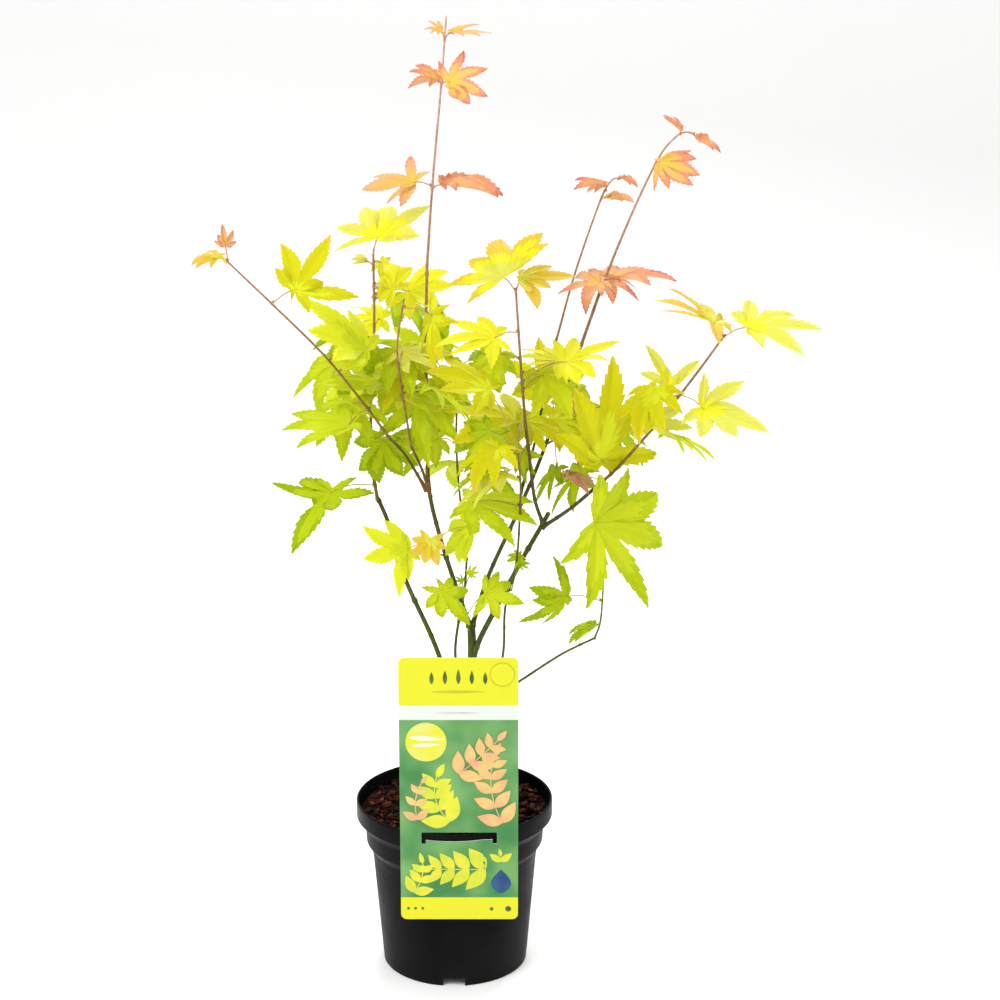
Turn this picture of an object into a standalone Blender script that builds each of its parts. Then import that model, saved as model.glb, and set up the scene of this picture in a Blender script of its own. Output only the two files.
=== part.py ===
"""Young maple in a black nursery pot, with a hanging tag on the pot's rim.

Every size is in millimetres and is scaled to metres when its mesh is made.
X runs across, Y runs away from the viewer, Z runs up.  The origin is the
middle of the pot's flat underside.

The woody frame is a trunk and tapering boughs, each a tube along a short
path.  A bough's root is cut by its parent, grown by the clearance, so the two
meet in a saddle.  Each mass of leaves is one stem with leaf stalks and lobed
blades united with it.  A blade is a thin lens over a lobed outline.  Some
blades have a place of their own, and the rest grow from a seeded rule.
"""
import math
import random

import bmesh
import bpy
from mathutils import Matrix, Vector
from mathutils.bvhtree import BVHTree

MM = 0.001
CLEAR = 0.3                  # gap between neighbouring solids

# Pot
RIM_R = 85.0
RIM_TOP = 150.0
LIP_UNDER = 134.5
LIP_INNER_R = 83.0
COLLAR_R = 77.5
COLLAR_TOP = 127.0
COLLAR_FOOT = 112.0
BODY_TOP = 105.6
BODY_TOP_R = 72.0
FOOT_R = 63.0
WALL = 1.5
FOOT_RECESS = 8.0
FLOOR_TOP = 9.8
PAD_R = 15.0
RING_W = 4.5
NOTCH_W = 19.0
NOTCHES = 4
DRAIN_HOLES = 6
DRAIN_D = 9.0
DRAIN_RING_R = 37.0
POT_STEPS = 30

# Soil
SOIL_EDGE = 139.0
SOIL_TOP = 143.0
SOIL_FLAT_R = 18.0

# Tag
TAG_W = 98.5
TAG_BOTTOM = 72.5
TAG_TOP = 305.5
TAG_T = 0.8
TAG_CORNER = 5.0
TAG_SHIFT = 5.5              # the tag's middle, across from the pot's axis
TAG_BACK = 81.4              # from the pot's axis to the tag's back
SLOT_HALF = 31.5
SLOT_LOW = 145.0
SLOT_HIGH = 151.4
LEG_W = 3.5
LEG_DROP = 3.8
BULGE_FOOT = 100.0

# The front elevation is drawn on the plane Y = 0 as seen from this point.
EYE = Vector((40.0, -1800.0, 907.0))

# Leaf blade: each lobe's angle from the middle lobe and its length.
LOBES = ((0.0, 1.0), (37.0, 0.92), (76.0, 0.70), (118.0, 0.42))
SHOULDER_AT = 0.58
SHOULDER_DEG = 13.5
SINUS_AT = 0.35
LENS = 0.024                 # thickness at the middle over the blade's length
LENS_MIN = 0.8
DROOP = 0.11
STALK_R = 0.55
STALK_RADII = (0.6, 0.55, 0.2)
STALK_REACH = 0.09           # how far past its middle a blade holds its stalk
ROOT_CLEAR = 6.0             # the stem's bare stretch beyond its bough
TEST_GROW = 0.5

# Where a blade is tried when its own place is taken: steps in depth, and for
# the seeded blades turns round the stem.
DEPTH_STEPS = (0, 6, -6, 12, -12, 20, -20, 30, -30)
TURN_STEPS = (0, 25, -25, 50, -50, 80, -80, 115, -115, 150)


def material(name, color, roughness):
    """Return a Principled material of one colour."""
    mat = bpy.data.materials.new(name)
    mat.use_nodes = True
    shader = mat.node_tree.nodes["Principled BSDF"]
    shader.inputs["Base Color"].default_value = (*color, 1.0)
    shader.inputs["Roughness"].default_value = roughness
    return mat


def new_collection(name):
    """Link and return a new collection."""
    group = bpy.data.collections.new(name)
    bpy.context.scene.collection.children.link(group)
    return group


def add_object(name, mesh, group, mat=None):
    """Link a mesh as a named object."""
    obj = bpy.data.objects.new(name, mesh)
    group.objects.link(obj)
    if mat is not None:
        mesh.materials.clear()
        mesh.materials.append(mat)
    return obj


def evaluated_mesh(obj):
    """Return a new mesh of the object as its modifiers leave it."""
    bpy.context.view_layer.update()
    graph = bpy.context.evaluated_depsgraph_get()
    return bpy.data.meshes.new_from_object(obj.evaluated_get(graph))


def apply_modifiers(obj):
    """Replace the object's mesh by its evaluated one."""
    mesh = evaluated_mesh(obj)
    obj.modifiers.clear()
    old = obj.data
    obj.data = mesh
    bpy.data.meshes.remove(old)


def hide_cutter(obj):
    """Mark an object as a cutter."""
    obj.hide_render = True
    obj.display_type = "WIRE"


def keep_largest(obj):
    """Weld the mesh and drop every loose scrap but the largest body."""
    bm = bmesh.new()
    bm.from_mesh(obj.data)
    bmesh.ops.remove_doubles(bm, verts=bm.verts, dist=1e-7)
    bm.verts.ensure_lookup_table()
    unseen = set(bm.verts)
    bodies = []
    while unseen:
        stack = [unseen.pop()]
        body = set(stack)
        while stack:
            for edge in stack.pop().link_edges:
                for vert in edge.verts:
                    if vert in unseen:
                        unseen.discard(vert)
                        body.add(vert)
                        stack.append(vert)
        bodies.append(body)
    if len(bodies) > 1:
        print(obj.name, "dropped", sorted(map(len, bodies))[:-1])
        largest = max(bodies, key=len)
        scraps = [v for v in bm.verts if v not in largest]
        bmesh.ops.delete(bm, geom=scraps, context="VERTS")
    bm.to_mesh(obj.data)
    bm.free()


def turned(name, profile, steps, group, mat):
    """Return a solid of revolution from (radius, height) pairs at +X."""
    mesh = bpy.data.meshes.new(name)
    verts = [(r * MM, 0.0, z * MM) for r, z in profile]
    mesh.from_pydata(verts, [(i, i + 1) for i in range(len(verts) - 1)], [])
    obj = add_object(name, mesh, group, mat)
    screw = obj.modifiers.new("turn", "SCREW")
    screw.axis = "Z"
    screw.steps = steps
    screw.render_steps = steps
    screw.use_merge_vertices = True
    screw.merge_threshold = 0.00001
    return obj


def tube(name, path, radii, group, resolution=2):
    """Return a tapering tube along the path, as a welded mesh object."""
    curve = bpy.data.curves.new(name, "CURVE")
    curve.dimensions = "3D"
    curve.bevel_depth = MM
    curve.bevel_resolution = resolution
    curve.use_fill_caps = True
    spline = curve.splines.new("POLY")
    spline.points.add(len(path) - 1)
    for point, place, radius in zip(spline.points, path, radii):
        point.co = (*(Vector(place) * MM), 1.0)
        point.radius = radius
    rod = bpy.data.objects.new(name + "_curve", curve)
    group.objects.link(rod)
    mesh = evaluated_mesh(rod)
    bpy.data.objects.remove(rod)
    bpy.data.curves.remove(curve)
    bm = bmesh.new()
    bm.from_mesh(mesh)
    bmesh.ops.remove_doubles(bm, verts=bm.verts, dist=1e-7)
    bmesh.ops.recalc_face_normals(bm, faces=bm.faces)
    bm.to_mesh(mesh)
    bm.free()
    mesh.name = name
    return add_object(name, mesh, group)


def smooth_path(knots, step):
    """Return points about one step apart on a Catmull-Rom curve."""
    knots = [Vector(k) for k in knots]
    ends = [2 * knots[0] - knots[1], *knots, 2 * knots[-1] - knots[-2]]
    points = [knots[0]]
    for i in range(1, len(ends) - 2):
        p0, p1, p2, p3 = ends[i - 1:i + 3]
        count = max(1, round((p2 - p1).length / step))
        for k in range(1, count + 1):
            t = k / count
            points.append(0.5 * (2 * p1 + (p2 - p0) * t
                                 + (2 * p0 - 5 * p1 + 4 * p2 - p3) * t ** 2
                                 + (3 * p1 - p0 - 3 * p2 + p3) * t ** 3))
    return points


def taper(points, start, end):
    """Return a radius for each point, falling evenly from start to end."""
    lengths = [0.0]
    for a, b in zip(points, points[1:]):
        lengths.append(lengths[-1] + (b - a).length)
    return [start + (end - start) * s / lengths[-1] for s in lengths]


def boolean(obj, other, operation, solver="EXACT"):
    """Apply one Boolean of the object with another object."""
    mod = obj.modifiers.new(operation.lower(), "BOOLEAN")
    mod.operation = operation
    mod.solver = solver
    mod.object = other
    apply_modifiers(obj)


def build_pot(group, cutters, mat):
    """A thin cup with a rolled lip, a stepped collar and a notched foot."""
    taper_per_mm = (BODY_TOP_R - FOOT_R) / BODY_TOP
    floor_r = FOOT_R + taper_per_mm * FLOOR_TOP - WALL
    profile = (
        (0, FLOOR_TOP), (floor_r, FLOOR_TOP),
        (BODY_TOP_R - WALL, BODY_TOP), (COLLAR_R - 2.2, COLLAR_FOOT + 0.5),
        (COLLAR_R - WALL, COLLAR_TOP + 0.5), (LIP_INNER_R - 0.8, LIP_UNDER + 2),
        (LIP_INNER_R, RIM_TOP - 1), (LIP_INNER_R + 0.6, RIM_TOP),
        (RIM_R - 0.6, RIM_TOP), (RIM_R, RIM_TOP - 1),
        (RIM_R, LIP_UNDER + 0.6), (RIM_R - 0.6, LIP_UNDER),
        (COLLAR_R, COLLAR_TOP), (COLLAR_R - 0.7, COLLAR_FOOT),
        (BODY_TOP_R, BODY_TOP), (FOOT_R, 0), (FOOT_R - RING_W, 0),
        (FOOT_R - RING_W, FOOT_RECESS), (PAD_R + 1, FOOT_RECESS),
        (PAD_R, 0), (0, 0))
    pot = turned("pot", profile, POT_STEPS, group, mat)
    apply_modifiers(pot)
    for i in range(NOTCHES):
        angle = math.radians(-90 + 360 / NOTCHES * i)
        reach = FOOT_R - RING_W / 2
        bpy.ops.mesh.primitive_cube_add(size=1, location=(
            reach * math.cos(angle) * MM, reach * math.sin(angle) * MM, 0))
        notch = bpy.context.object
        notch.name = f"notch_cut_{i}"
        notch.rotation_euler[2] = angle
        notch.scale = (14 * MM, NOTCH_W * MM, 2 * (FOOT_RECESS - 0.5) * MM)
        cutters.append(notch)
    for i in range(DRAIN_HOLES):
        angle = math.radians(30 + 360 / DRAIN_HOLES * i)
        bpy.ops.mesh.primitive_cylinder_add(
            vertices=12, radius=DRAIN_D / 2 * MM, depth=10 * MM, location=(
                DRAIN_RING_R * math.cos(angle) * MM,
                DRAIN_RING_R * math.sin(angle) * MM, FLOOR_TOP * MM))
        hole = bpy.context.object
        hole.name = f"drain_cut_{i}"
        cutters.append(hole)
    for cutter in cutters:
        boolean(pot, cutter, "DIFFERENCE")
    pot.data.materials.clear()
    pot.data.materials.append(mat)
    return pot


def build_soil(group, mat):
    """Bark compost that fills the pot, flat where the trunk stands."""
    taper_per_mm = (BODY_TOP_R - FOOT_R) / BODY_TOP
    foot_r = FOOT_R + taper_per_mm * FLOOR_TOP - WALL - 2 * CLEAR
    edge_r = LIP_INNER_R - 0.8 - 2 * CLEAR
    profile = (
        (0, SOIL_TOP), (SOIL_FLAT_R, SOIL_TOP), (45, SOIL_TOP - 1.5),
        (66, SOIL_TOP - 0.5), (edge_r - 4, SOIL_EDGE + 1.5),
        (edge_r, SOIL_EDGE), (edge_r, LIP_UNDER + 3),
        (COLLAR_R - WALL - 2 * CLEAR, COLLAR_TOP + 1.5),
        (COLLAR_R - 2.2 - 2 * CLEAR, COLLAR_FOOT + 1),
        (BODY_TOP_R - WALL - 2 * CLEAR, BODY_TOP + 0.5),
        (foot_r, FLOOR_TOP + CLEAR), (0, FLOOR_TOP + CLEAR))
    soil = turned("soil", profile, POT_STEPS, group, mat)
    apply_modifiers(soil)
    for vert in soil.data.vertices:
        r = math.hypot(vert.co.x, vert.co.y) / MM
        if vert.co.z > SOIL_EDGE * MM and r > SOIL_FLAT_R + 5:
            angle = math.atan2(vert.co.y, vert.co.x)
            wave = math.sin(5 * angle + 1) + math.sin(11 * angle + r)
            vert.co.z += 0.6 * wave * MM
    return soil


def rim_bulge(x, z):
    """How far the tag stands forward of its plane to clear the pot's lip."""
    if z > SLOT_LOW + 0.01:
        return 0.0
    clear_r = RIM_R + 2 * CLEAR
    ahead = math.sqrt(clear_r ** 2 - (x + TAG_SHIFT) ** 2) - TAG_BACK
    fade = (z - BULGE_FOOT) / (LIP_UNDER - 2 - BULGE_FOOT)
    fade = max(0.0, min(1.0, fade))
    return max(0.0, ahead) * fade * fade * (3 - 2 * fade)


def tag_outline():
    """Corner-rounded rectangle of the tag, in X and Z."""
    points = []
    half = TAG_W / 2
    corners = ((half - TAG_CORNER, TAG_TOP - TAG_CORNER, 0),
               (-half + TAG_CORNER, TAG_TOP - TAG_CORNER, 90),
               (-half + TAG_CORNER, TAG_BOTTOM + TAG_CORNER, 180),
               (half - TAG_CORNER, TAG_BOTTOM + TAG_CORNER, 270))
    for cx, cz, start in corners:
        for k in range(4):
            a = math.radians(start + 30 * k)
            points.append((cx + TAG_CORNER * math.cos(a),
                           cz + TAG_CORNER * math.sin(a)))
    return points


def build_tag(group, mat):
    """A thin plate whose slot the pot's lip pokes through."""
    leg_in = SLOT_HALF - LEG_W
    slot = ((-SLOT_HALF, SLOT_HIGH), (SLOT_HALF, SLOT_HIGH),
            (SLOT_HALF, SLOT_LOW - LEG_DROP), (leg_in, SLOT_LOW - LEG_DROP),
            (leg_in, SLOT_LOW), (-leg_in, SLOT_LOW),
            (-leg_in, SLOT_LOW - LEG_DROP), (-SLOT_HALF, SLOT_LOW - LEG_DROP))
    bm = bmesh.new()
    for ring in (tag_outline(), slot):
        verts = [bm.verts.new((x * MM, 0, z * MM)) for x, z in ring]
        for a, b in zip(verts, verts[1:] + verts[:1]):
            bm.edges.new((a, b))
    bmesh.ops.triangle_fill(bm, use_beauty=True, use_dissolve=False,
                            edges=bm.edges)
    cuts = [(Vector((x * MM, 0, 0)), Vector((1, 0, 0)))
            for x in (-SLOT_HALF, -leg_in, -20, -10, 0, 10, 20, leg_in)]
    cuts += [(Vector((0, 0, z * MM)), Vector((0, 0, 1)))
             for z in (BULGE_FOOT, 111, 122, 133, SLOT_LOW)]
    for place, normal in cuts:
        bmesh.ops.bisect_plane(bm, geom=bm.verts[:] + bm.edges[:] + bm.faces[:],
                               plane_co=place, plane_no=normal, dist=1e-6)
    bmesh.ops.triangulate(bm, faces=bm.faces)
    for vert in bm.verts:
        x, z = vert.co.x / MM, vert.co.z / MM
        vert.co.y = -rim_bulge(x, z) * MM
    bmesh.ops.recalc_face_normals(bm, faces=bm.faces)
    shell = bmesh.ops.extrude_face_region(bm, geom=bm.faces[:])
    moved = [g for g in shell["geom"] if isinstance(g, bmesh.types.BMVert)]
    bmesh.ops.translate(bm, verts=moved, vec=(0, -TAG_T * MM, 0))
    bmesh.ops.recalc_face_normals(bm, faces=bm.faces)
    mesh = bpy.data.meshes.new("tag")
    bm.to_mesh(mesh)
    bm.free()
    tag = add_object("tag", mesh, group, mat)
    tag.location = (TAG_SHIFT * MM, -TAG_BACK * MM, 0)
    return tag


# Limbs: name, parents that cut its root, knots (across, away, up), the
# radius at the root and at the tip.
LIMBS = (
    ("trunk", (), ((10, 4, 143.3), (11, 3, 180), (14, -1, 225), (16, -5, 275),
                   (15, -8, 313)), 7.0, 3.3),
    ("bough_a", ("trunk",), ((12, 2, 190), (-13, 5, 278), (-41, 15, 342),
                             (-55, 22, 389), (-65, 28, 412)), 2.3, 1.7),
    ("bough_b", ("trunk",), ((14, 0, 222), (1, 20, 272), (9, 30, 328),
                             (11, 36, 356)), 1.3, 1.0),
    ("bough_c", ("trunk",), ((14, -8, 308), (2, -12, 346), (-8, -16, 380),
                             (-16, -20, 413), (-20, -22, 436)), 2.0, 1.7),
    ("shoot_tall", ("bough_c",), ((-20, -21, 431), (-21, 0, 486),
                                  (-22, 20, 549), (-21, 35, 612)), 1.5, 1.2),
    ("shoot_left", ("bough_c", "shoot_tall"), (
        (-21, -23, 431), (-38, -34, 464), (-52, -42, 482)), 1.2, 1.1),
    ("shoot_mid", ("bough_c", "shoot_tall", "shoot_left"), (
        (-18, -24, 426), (-24, -38, 452), (-33, -48, 476)), 1.1, 1.0),
    ("bough_d", ("trunk",), ((15, -5, 268), (22, -11, 296), (40, -20, 335),
                             (58, -31, 374), (74, -40, 406), (80, -42, 418)),
     2.4, 1.9),
    ("bough_d1", ("bough_d",), ((75, -40, 407), (68, -46, 430),
                                (64, -54, 462), (60, -62, 497)), 1.5, 1.2),
    ("bough_d2", ("bough_d",), ((74, -40, 404), (98, -41, 421),
                                (120, -43, 441)), 1.6, 1.5),
    ("bough_e", ("trunk", "bough_c"), (
        (16, -8, 308), (30, 12, 347), (54, 30, 396), (73, 45, 438),
        (96, 65, 498), (126, 90, 579)), 1.9, 1.3),
    ("bough_f", ("bough_e",), ((55, 31, 398), (61, 50, 424), (68, 60, 445),
                               (78, 80, 488), (89, 100, 536)), 1.2, 1.0),
    ("bough_g", ("trunk",), ((13, 1, 196), (31, -18, 232), (42, -32, 290),
                             (44, -40, 335), (53, -52, 378), (56, -62, 425)),
     1.2, 0.9),
    ("bough_h", ("trunk",), ((14, 0, 216), (30, -14, 243), (57, -30, 267),
                             (90, -50, 297), (118, -65, 317)), 1.2, 0.9),
)
FLARE = 5.0
FLARE_REACH = 14.0
LIMB_STEP = 20.0
STEM_STEP = 26.0

# Masses: name, parents that cut the stem's root, stem knots, root and tip
# radius, seeded blades (count, first turn, blade length, the stem's stretch
# that bears them), then each placed blade (across, away, up, length, aim,
# lean, face, and roll where it has one).  Aim is the middle lobe's direction
# in the front elevation, lean turns it to the front, face runs from 0, facing
# forward, to 90, facing up, and roll turns the blade about its middle lobe.
MASSES = (
    ("leaves_top", ("shoot_tall",), (
        (-21, 34.5, 610), (-16, 45, 679), (-9, 50, 752), (-4, 50, 812)),
     1.1, 0.7, (0, 0, 0, 0, 0), (
        (-7, 50, 802, 17, 165, 10, 70), (0, 50, 801, 34, 4, 10, 84),
        (-9, 54, 764, 29, 175, 0, 68), (-1, 44, 762, 38, 11, 10, 15),
        (-29, 50, 683, 46, 190, 5, 64), (-8, 36, 681, 54, -10, 0, 94))),
    ("leaves_a", ("bough_a",), (
        (-64.8, 27.5, 410), (-69, 32, 440), (-70, 45, 492), (-67, 55, 551),
        (-67, 60, 616)), 1.5, 0.9, (3, 100, 54, 0.3, 0.8), (
        (-60, 62, 638, 60, 60, -50, 78), (-58, 66, 618, 17, -50, 20, 60),
        (-68, 52, 618, 14, 169, 20, 60), (-35, 30, 594, 54, 8, 10, 60),
        (-48, 46, 603, 40, 140, 0, 66), (-58, 84, 571, 44, 172, 0, 66),
        (-102, 18, 424, 66, -123, 42, 62), (-48, 12, 597, 46, 128, 0, 60))),
    ("leaves_b", ("bough_b",), (
        (11, 35.5, 354), (7, 42, 388), (2, 60, 450), (4, 78, 515)),
     1.0, 0.8, (7, 60, 56, 0.35, 1.0), (
        (0, 52, 515, 54, 200, 0, 62), (27, 62, 523, 50, 60, -30, 70),
        (-12, 34, 469, 50, 188, 5, 66), (24, 44, 443, 44, -30, 0, 72),
        (-7, 66, 541, 48, 84, 0, 40))),
    ("leaves_left", ("shoot_left",), (
        (-51, -41.5, 481), (-71, -50, 512), (-100, -64, 553),
        (-137, -78, 595), (-171, -90, 632)), 1.1, 0.7,
     (2, 250, 48, 0.1, 0.5), (
        (-184, -92, 632, 18, 96, 15, 50), (-189, -96, 621, 24, 193, 10, 78),
        (-127, -98, 594, 46, 60, 10, 25, 35), (-71, -66, 545, 58, 150, 15, 50),
        (-59, -80, 519, 52, 186, 5, 78), (-85, -72, 482, 64, 188, 10, 70),
        (-58, -64, 468, 48, -100, 20, 40, 20))),
    ("leaves_mid", ("shoot_mid",), (
        (-32.5, -47.5, 475), (-38, -56, 517), (-42, -64, 559),
        (-36, -66, 600)), 1.0, 0.7, (2, 20, 46, 0.2, 0.8), (
        (-16, -56, 574, 44, -98, 10, 40, 60), (-42, -84, 543, 42, 3, 10, 75),
        (-44, -90, 509, 34, -5, 10, 75),
        (-33, -40, 528, 48, 204, 0, 66))),
    ("leaves_low", ("bough_c",), (
        (-6, -15, 372), (-13, -28, 379), (-18, -38, 390)), 0.9, 0.7,
     (0, 0, 0, 0, 0), (
        (-38, -46, 374, 42, 195, 10, 25), (-19, -52, 382, 30, -100, 10, 50),
        (15, -50, 395, 50, -105, 15, 40, 45))),
    ("leaves_foot", ("trunk",), (
        (15, -8, 300), (13, -20, 311), (12, -30, 325)), 0.9, 0.7,
     (0, 0, 0, 0, 0), (
        (-11, -42, 338, 42, -48, 10, 30), (28, -46, 334, 38, -12, 10, 30))),
    ("leaves_d1", ("bough_d1",), (
        (60.2, -61.5, 495), (57, -68, 534), (52, -85, 608)), 1.2, 0.8,
     (1, 300, 46, 0.1, 0.6), (
        (42, -98, 605, 60, 84, -67, 74, -22), (57, -75, 605, 44, -20, 15, 68),
        (36, -98, 555, 48, 172, 10, 64), (40, -58, 542, 34, -129, 10, 60),
        (94, -64, 535, 48, 8, 5, 78), (91, -64, 535, 42, 172, 5, 78))),
    ("leaves_g", ("bough_g",), (
        (56, -61.5, 423), (56, -72, 450), (54, -80, 478)), 0.9, 0.7,
     (2, 150, 46, 0.4, 1.0), (
        (55, -90, 486, 70, 166, 5, 70), (58, -76, 485, 38, -21, 10, 76),
        (32, -66, 477, 40, -127, 15, 55), (43, -74, 438, 45, 200, 5, 90),
        (15, -76, 415, 58, -8, 10, 70), (59, -98, 460, 28, -92, 10, 50, 55),
        (30, -96, 512, 50, 152, 5, 68))),
    ("leaves_d2", ("bough_d2",), (
        (119.6, -43, 440.6), (138, -45, 459), (169, -48, 497),
        (197, -50, 535), (218, -50, 565)), 1.4, 0.9, (2, 90, 50, 0.3, 0.8), (
        (124, -62, 451, 84, 84, 8, 10, 48), (120, -80, 397, 88, -31, -28, 7, -22),
        (93, -70, 437, 32, -20, 10, 88), (180, -40, 514, 36, 72, -50, 76),
        (166, -66, 480, 46, 90, -50, 74),
        (208, -74, 495, 60, -15, 5, 66), (243, -58, 564, 63, 0, 5, 76),
        (216, -38, 568, 50, 158, 10, 78))),
    ("leaves_e", ("bough_e",), (
        (125.5, 89.6, 577.6), (142, 100, 618), (160, 110, 658),
        (177, 118, 691), (190, 121, 706), (199, 124, 710), (207, 126, 708)),
     1.2, 0.7, (1, 60, 40, 0.0, 0.1), (
        (124, 90, 603, 62, 1, 5, 86), (122, 100, 601, 42, 195, 5, 72),
        (168, 110, 699, 38, -11, 20, 25), (185, 120, 724, 20, 141, 10, 60),
        (197, 130, 718, 26, -35, 10, 80))),
    ("leaves_e_mid", ("bough_e",), (
        (78, 50, 452), (92, 42, 462), (104, 34, 476)), 1.0, 0.8,
     (4, 40, 54, 0.4, 1.0), (
        (87, 30, 444, 34, -128, 10, 50, 45),
        (107, 22, 443, 46, -131, 10, 50, 40),
        (84, 26, 486, 52, -12, 0, 68), (100, 52, 502, 50, 60, -30, 66),
        (82, 62, 508, 50, 106, -10, 60))),
    ("leaves_f", ("bough_f",), (
        (88.8, 99.5, 534.5), (105, 116, 590), (127, 135, 650),
        (137, 139, 667), (145, 141, 668)), 1.0, 0.7, (0, 0, 0, 0, 0), (
        (125, 136, 680, 26, 178, 5, 78), (138, 141, 686, 18, -29, 10, 78),
        (125, 146, 670, 26, -10, 5, 84))),
    ("leaves_h", ("bough_h",), (
        (117.5, -64.8, 316.6), (122, -69, 334), (124, -74, 373)), 0.9, 0.7,
     (0, 0, 0, 0, 0), ((96, -62, 332, 43, 188, 28, 44, -71),)),
    ("leaves_tall", ("shoot_tall",), (
        (-21, 0, 486), (-28, 18, 500), (-36, 40, 522)), 1.0, 0.8,
     (4, 100, 54, 0.4, 1.0), ((-18, 22, 536, 50, 150, 5, 62),)),
)


def seat(across, away, up):
    """Slide a place of the front elevation along its line of sight."""
    flat = Vector((across, 0.0, up))
    return EYE + (flat - EYE) * ((away - EYE.y) / -EYE.y)


def blade_axes(aim, lean, face, roll=0.0):
    """Return the middle lobe's direction, the side and the upper normal."""
    aim, lean, face, roll = map(math.radians, (aim, lean, face, roll))
    ahead = Vector((math.cos(aim) * math.cos(lean), -math.sin(lean),
                    math.sin(aim) * math.cos(lean)))
    up = Vector((0.0, -math.cos(face), math.sin(face)))
    up = (up - ahead * up.dot(ahead)).normalized()
    up = Matrix.Rotation(roll, 3, ahead) @ up
    return ahead, up.cross(ahead), up


def blade_outline():
    """Return the blade's outline as (angle, radius), length one."""
    half = [(LOBES[0][0], LOBES[0][1])]
    for i, (angle, reach) in enumerate(LOBES[1:], 1):
        before, length = LOBES[i - 1]
        half.append((before + SHOULDER_DEG, SHOULDER_AT * length))
        half.append(((before + angle) / 2,
                     SINUS_AT * min(reach, length) + 0.04))
        if i < len(LOBES) - 1:
            half.append((angle - SHOULDER_DEG, SHOULDER_AT * reach))
        half.append((angle, reach))
    half.append((150.0, 0.12))
    left = [(a, r) for a, r in half]
    right = [(-a, r) for a, r in reversed(half[1:])]
    return left + [(180.0, 0.05)] + right


def blade_points(centre, axes, length, grow=0.0):
    """Return the outline's points in space and the two middle points."""
    ahead, side, up = axes
    rim = []
    for angle, radius in blade_outline():
        a = math.radians(angle)
        r = radius * length + grow
        drop = DROOP * length * (r / length) ** 2
        rim.append(centre + ahead * (r * math.cos(a))
                   + side * (r * math.sin(a)) - up * drop)
    half = max(LENS * length, LENS_MIN) / 2 + grow
    return rim, centre + up * half, centre - up * half


def blade_mesh(centre, axes, length, grow=0.0):
    """Return a bmesh lens over the lobed outline: two fans on one rim."""
    rim, top, bottom = blade_points(centre, axes, length, grow)
    count = len(rim)
    bm = bmesh.new()
    for peak, flip in ((top, False), (bottom, True)):
        made = bmesh.ops.create_circle(bm, cap_ends=True, cap_tris=True,
                                       segments=count, radius=1.0)
        for vert in made["verts"]:
            if math.hypot(vert.co.x, vert.co.y) < 0.5:
                vert.co = peak * MM
                continue
            turn = math.atan2(vert.co.y, vert.co.x) / math.tau - 0.25
            vert.co = rim[round(turn * count) % count] * MM
        if flip:
            faces = {f for v in made["verts"] for f in v.link_faces}
            bmesh.ops.reverse_faces(bm, faces=list(faces))
    bmesh.ops.remove_doubles(bm, verts=bm.verts, dist=1e-7)
    bmesh.ops.recalc_face_normals(bm, faces=bm.faces)
    return bm


def stalk_path(stem, centre, axes, length):
    """Return the leaf stalk's points, from inside the stem to the blade."""
    ahead, _, up = axes
    aim = centre - ahead * 4 - up * 5
    start = stem[0].lerp(stem[1], ROOT_CLEAR / (stem[1] - stem[0]).length)
    stem = [start, *stem[1:]]
    root = start
    for a, b in zip(stem, stem[1:]):
        along = b - a
        t = max(0.0, min(1.0, (aim - a).dot(along) / along.length_squared))
        spot = a + along * t
        if (spot - aim).length < (root - aim).length:
            root = spot
    reach = centre - root
    middle = root + reach * 0.55 + Vector((0, 0, 0.08 * reach.length))
    sunk = (ahead - up * DROOP) * STALK_REACH * length
    return [root, middle, centre + sunk]


def tree_of(bm):
    """Return a search tree of a bmesh and free it."""
    tree = BVHTree.FromBMesh(bm)
    bm.free()
    return tree


def object_tree(obj):
    """Return a search tree of an object's mesh, in world space."""
    bm = bmesh.new()
    bm.from_mesh(obj.data)
    bm.transform(obj.matrix_world)
    return tree_of(bm)


def rod_tree(path, radius):
    """Return a search tree of a thin rod along the path."""
    bm = bmesh.new()
    for a, b in zip(path, path[1:]):
        along = b - a
        turn = Vector((0, 0, 1)).rotation_difference(along).to_matrix()
        place = Matrix.Translation((a + b) / 2 * MM) @ turn.to_4x4()
        bmesh.ops.create_cone(bm, cap_ends=True, segments=4,
                              radius1=radius * MM, radius2=radius * MM,
                              depth=along.length * MM, matrix=place)
    return tree_of(bm)


def outside_part(path, stem, stem_radius):
    """Return the stalk's path with the stretch inside its stem left out."""
    root, middle = path[0], path[1]
    lead = (middle - root).normalized() * (stem_radius + 1.5)
    return [root + lead, middle, path[2]]


def touches(tree, trees):
    """Say whether a search tree meets any of the others."""
    return any(tree.overlap(other) for other in trees)


def place_blades(rows, stem, stem_radius, walls, own_walls, own):
    """Choose each blade's first free place, or skip it."""
    chosen = []
    for tries in rows:
        for strict in (True, False):
            found = None
            for centre, axes, length in tries:
                lens = tree_of(blade_mesh(centre, axes, length, TEST_GROW))
                path = stalk_path(stem, centre, axes, length)
                rod = rod_tree(outside_part(path, stem, stem_radius),
                               STALK_R + TEST_GROW)
                if touches(lens, walls) or touches(rod, walls):
                    continue
                if strict and (touches(lens, own_walls)
                               or touches(lens, own)):
                    continue
                found = (centre, axes, length, path, lens, rod)
                break
            if found:
                break
        if found:
            chosen.append(found)
            own.append(found[4])
            own.append(found[5])
    return chosen


def placed_tries(row):
    """Return the places tried for a blade with a place of its own."""
    across, away, up, length, *turns = row
    axes = blade_axes(*turns)
    return [(seat(across, away + step, up), axes, length)
            for step in DEPTH_STEPS]


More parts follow.
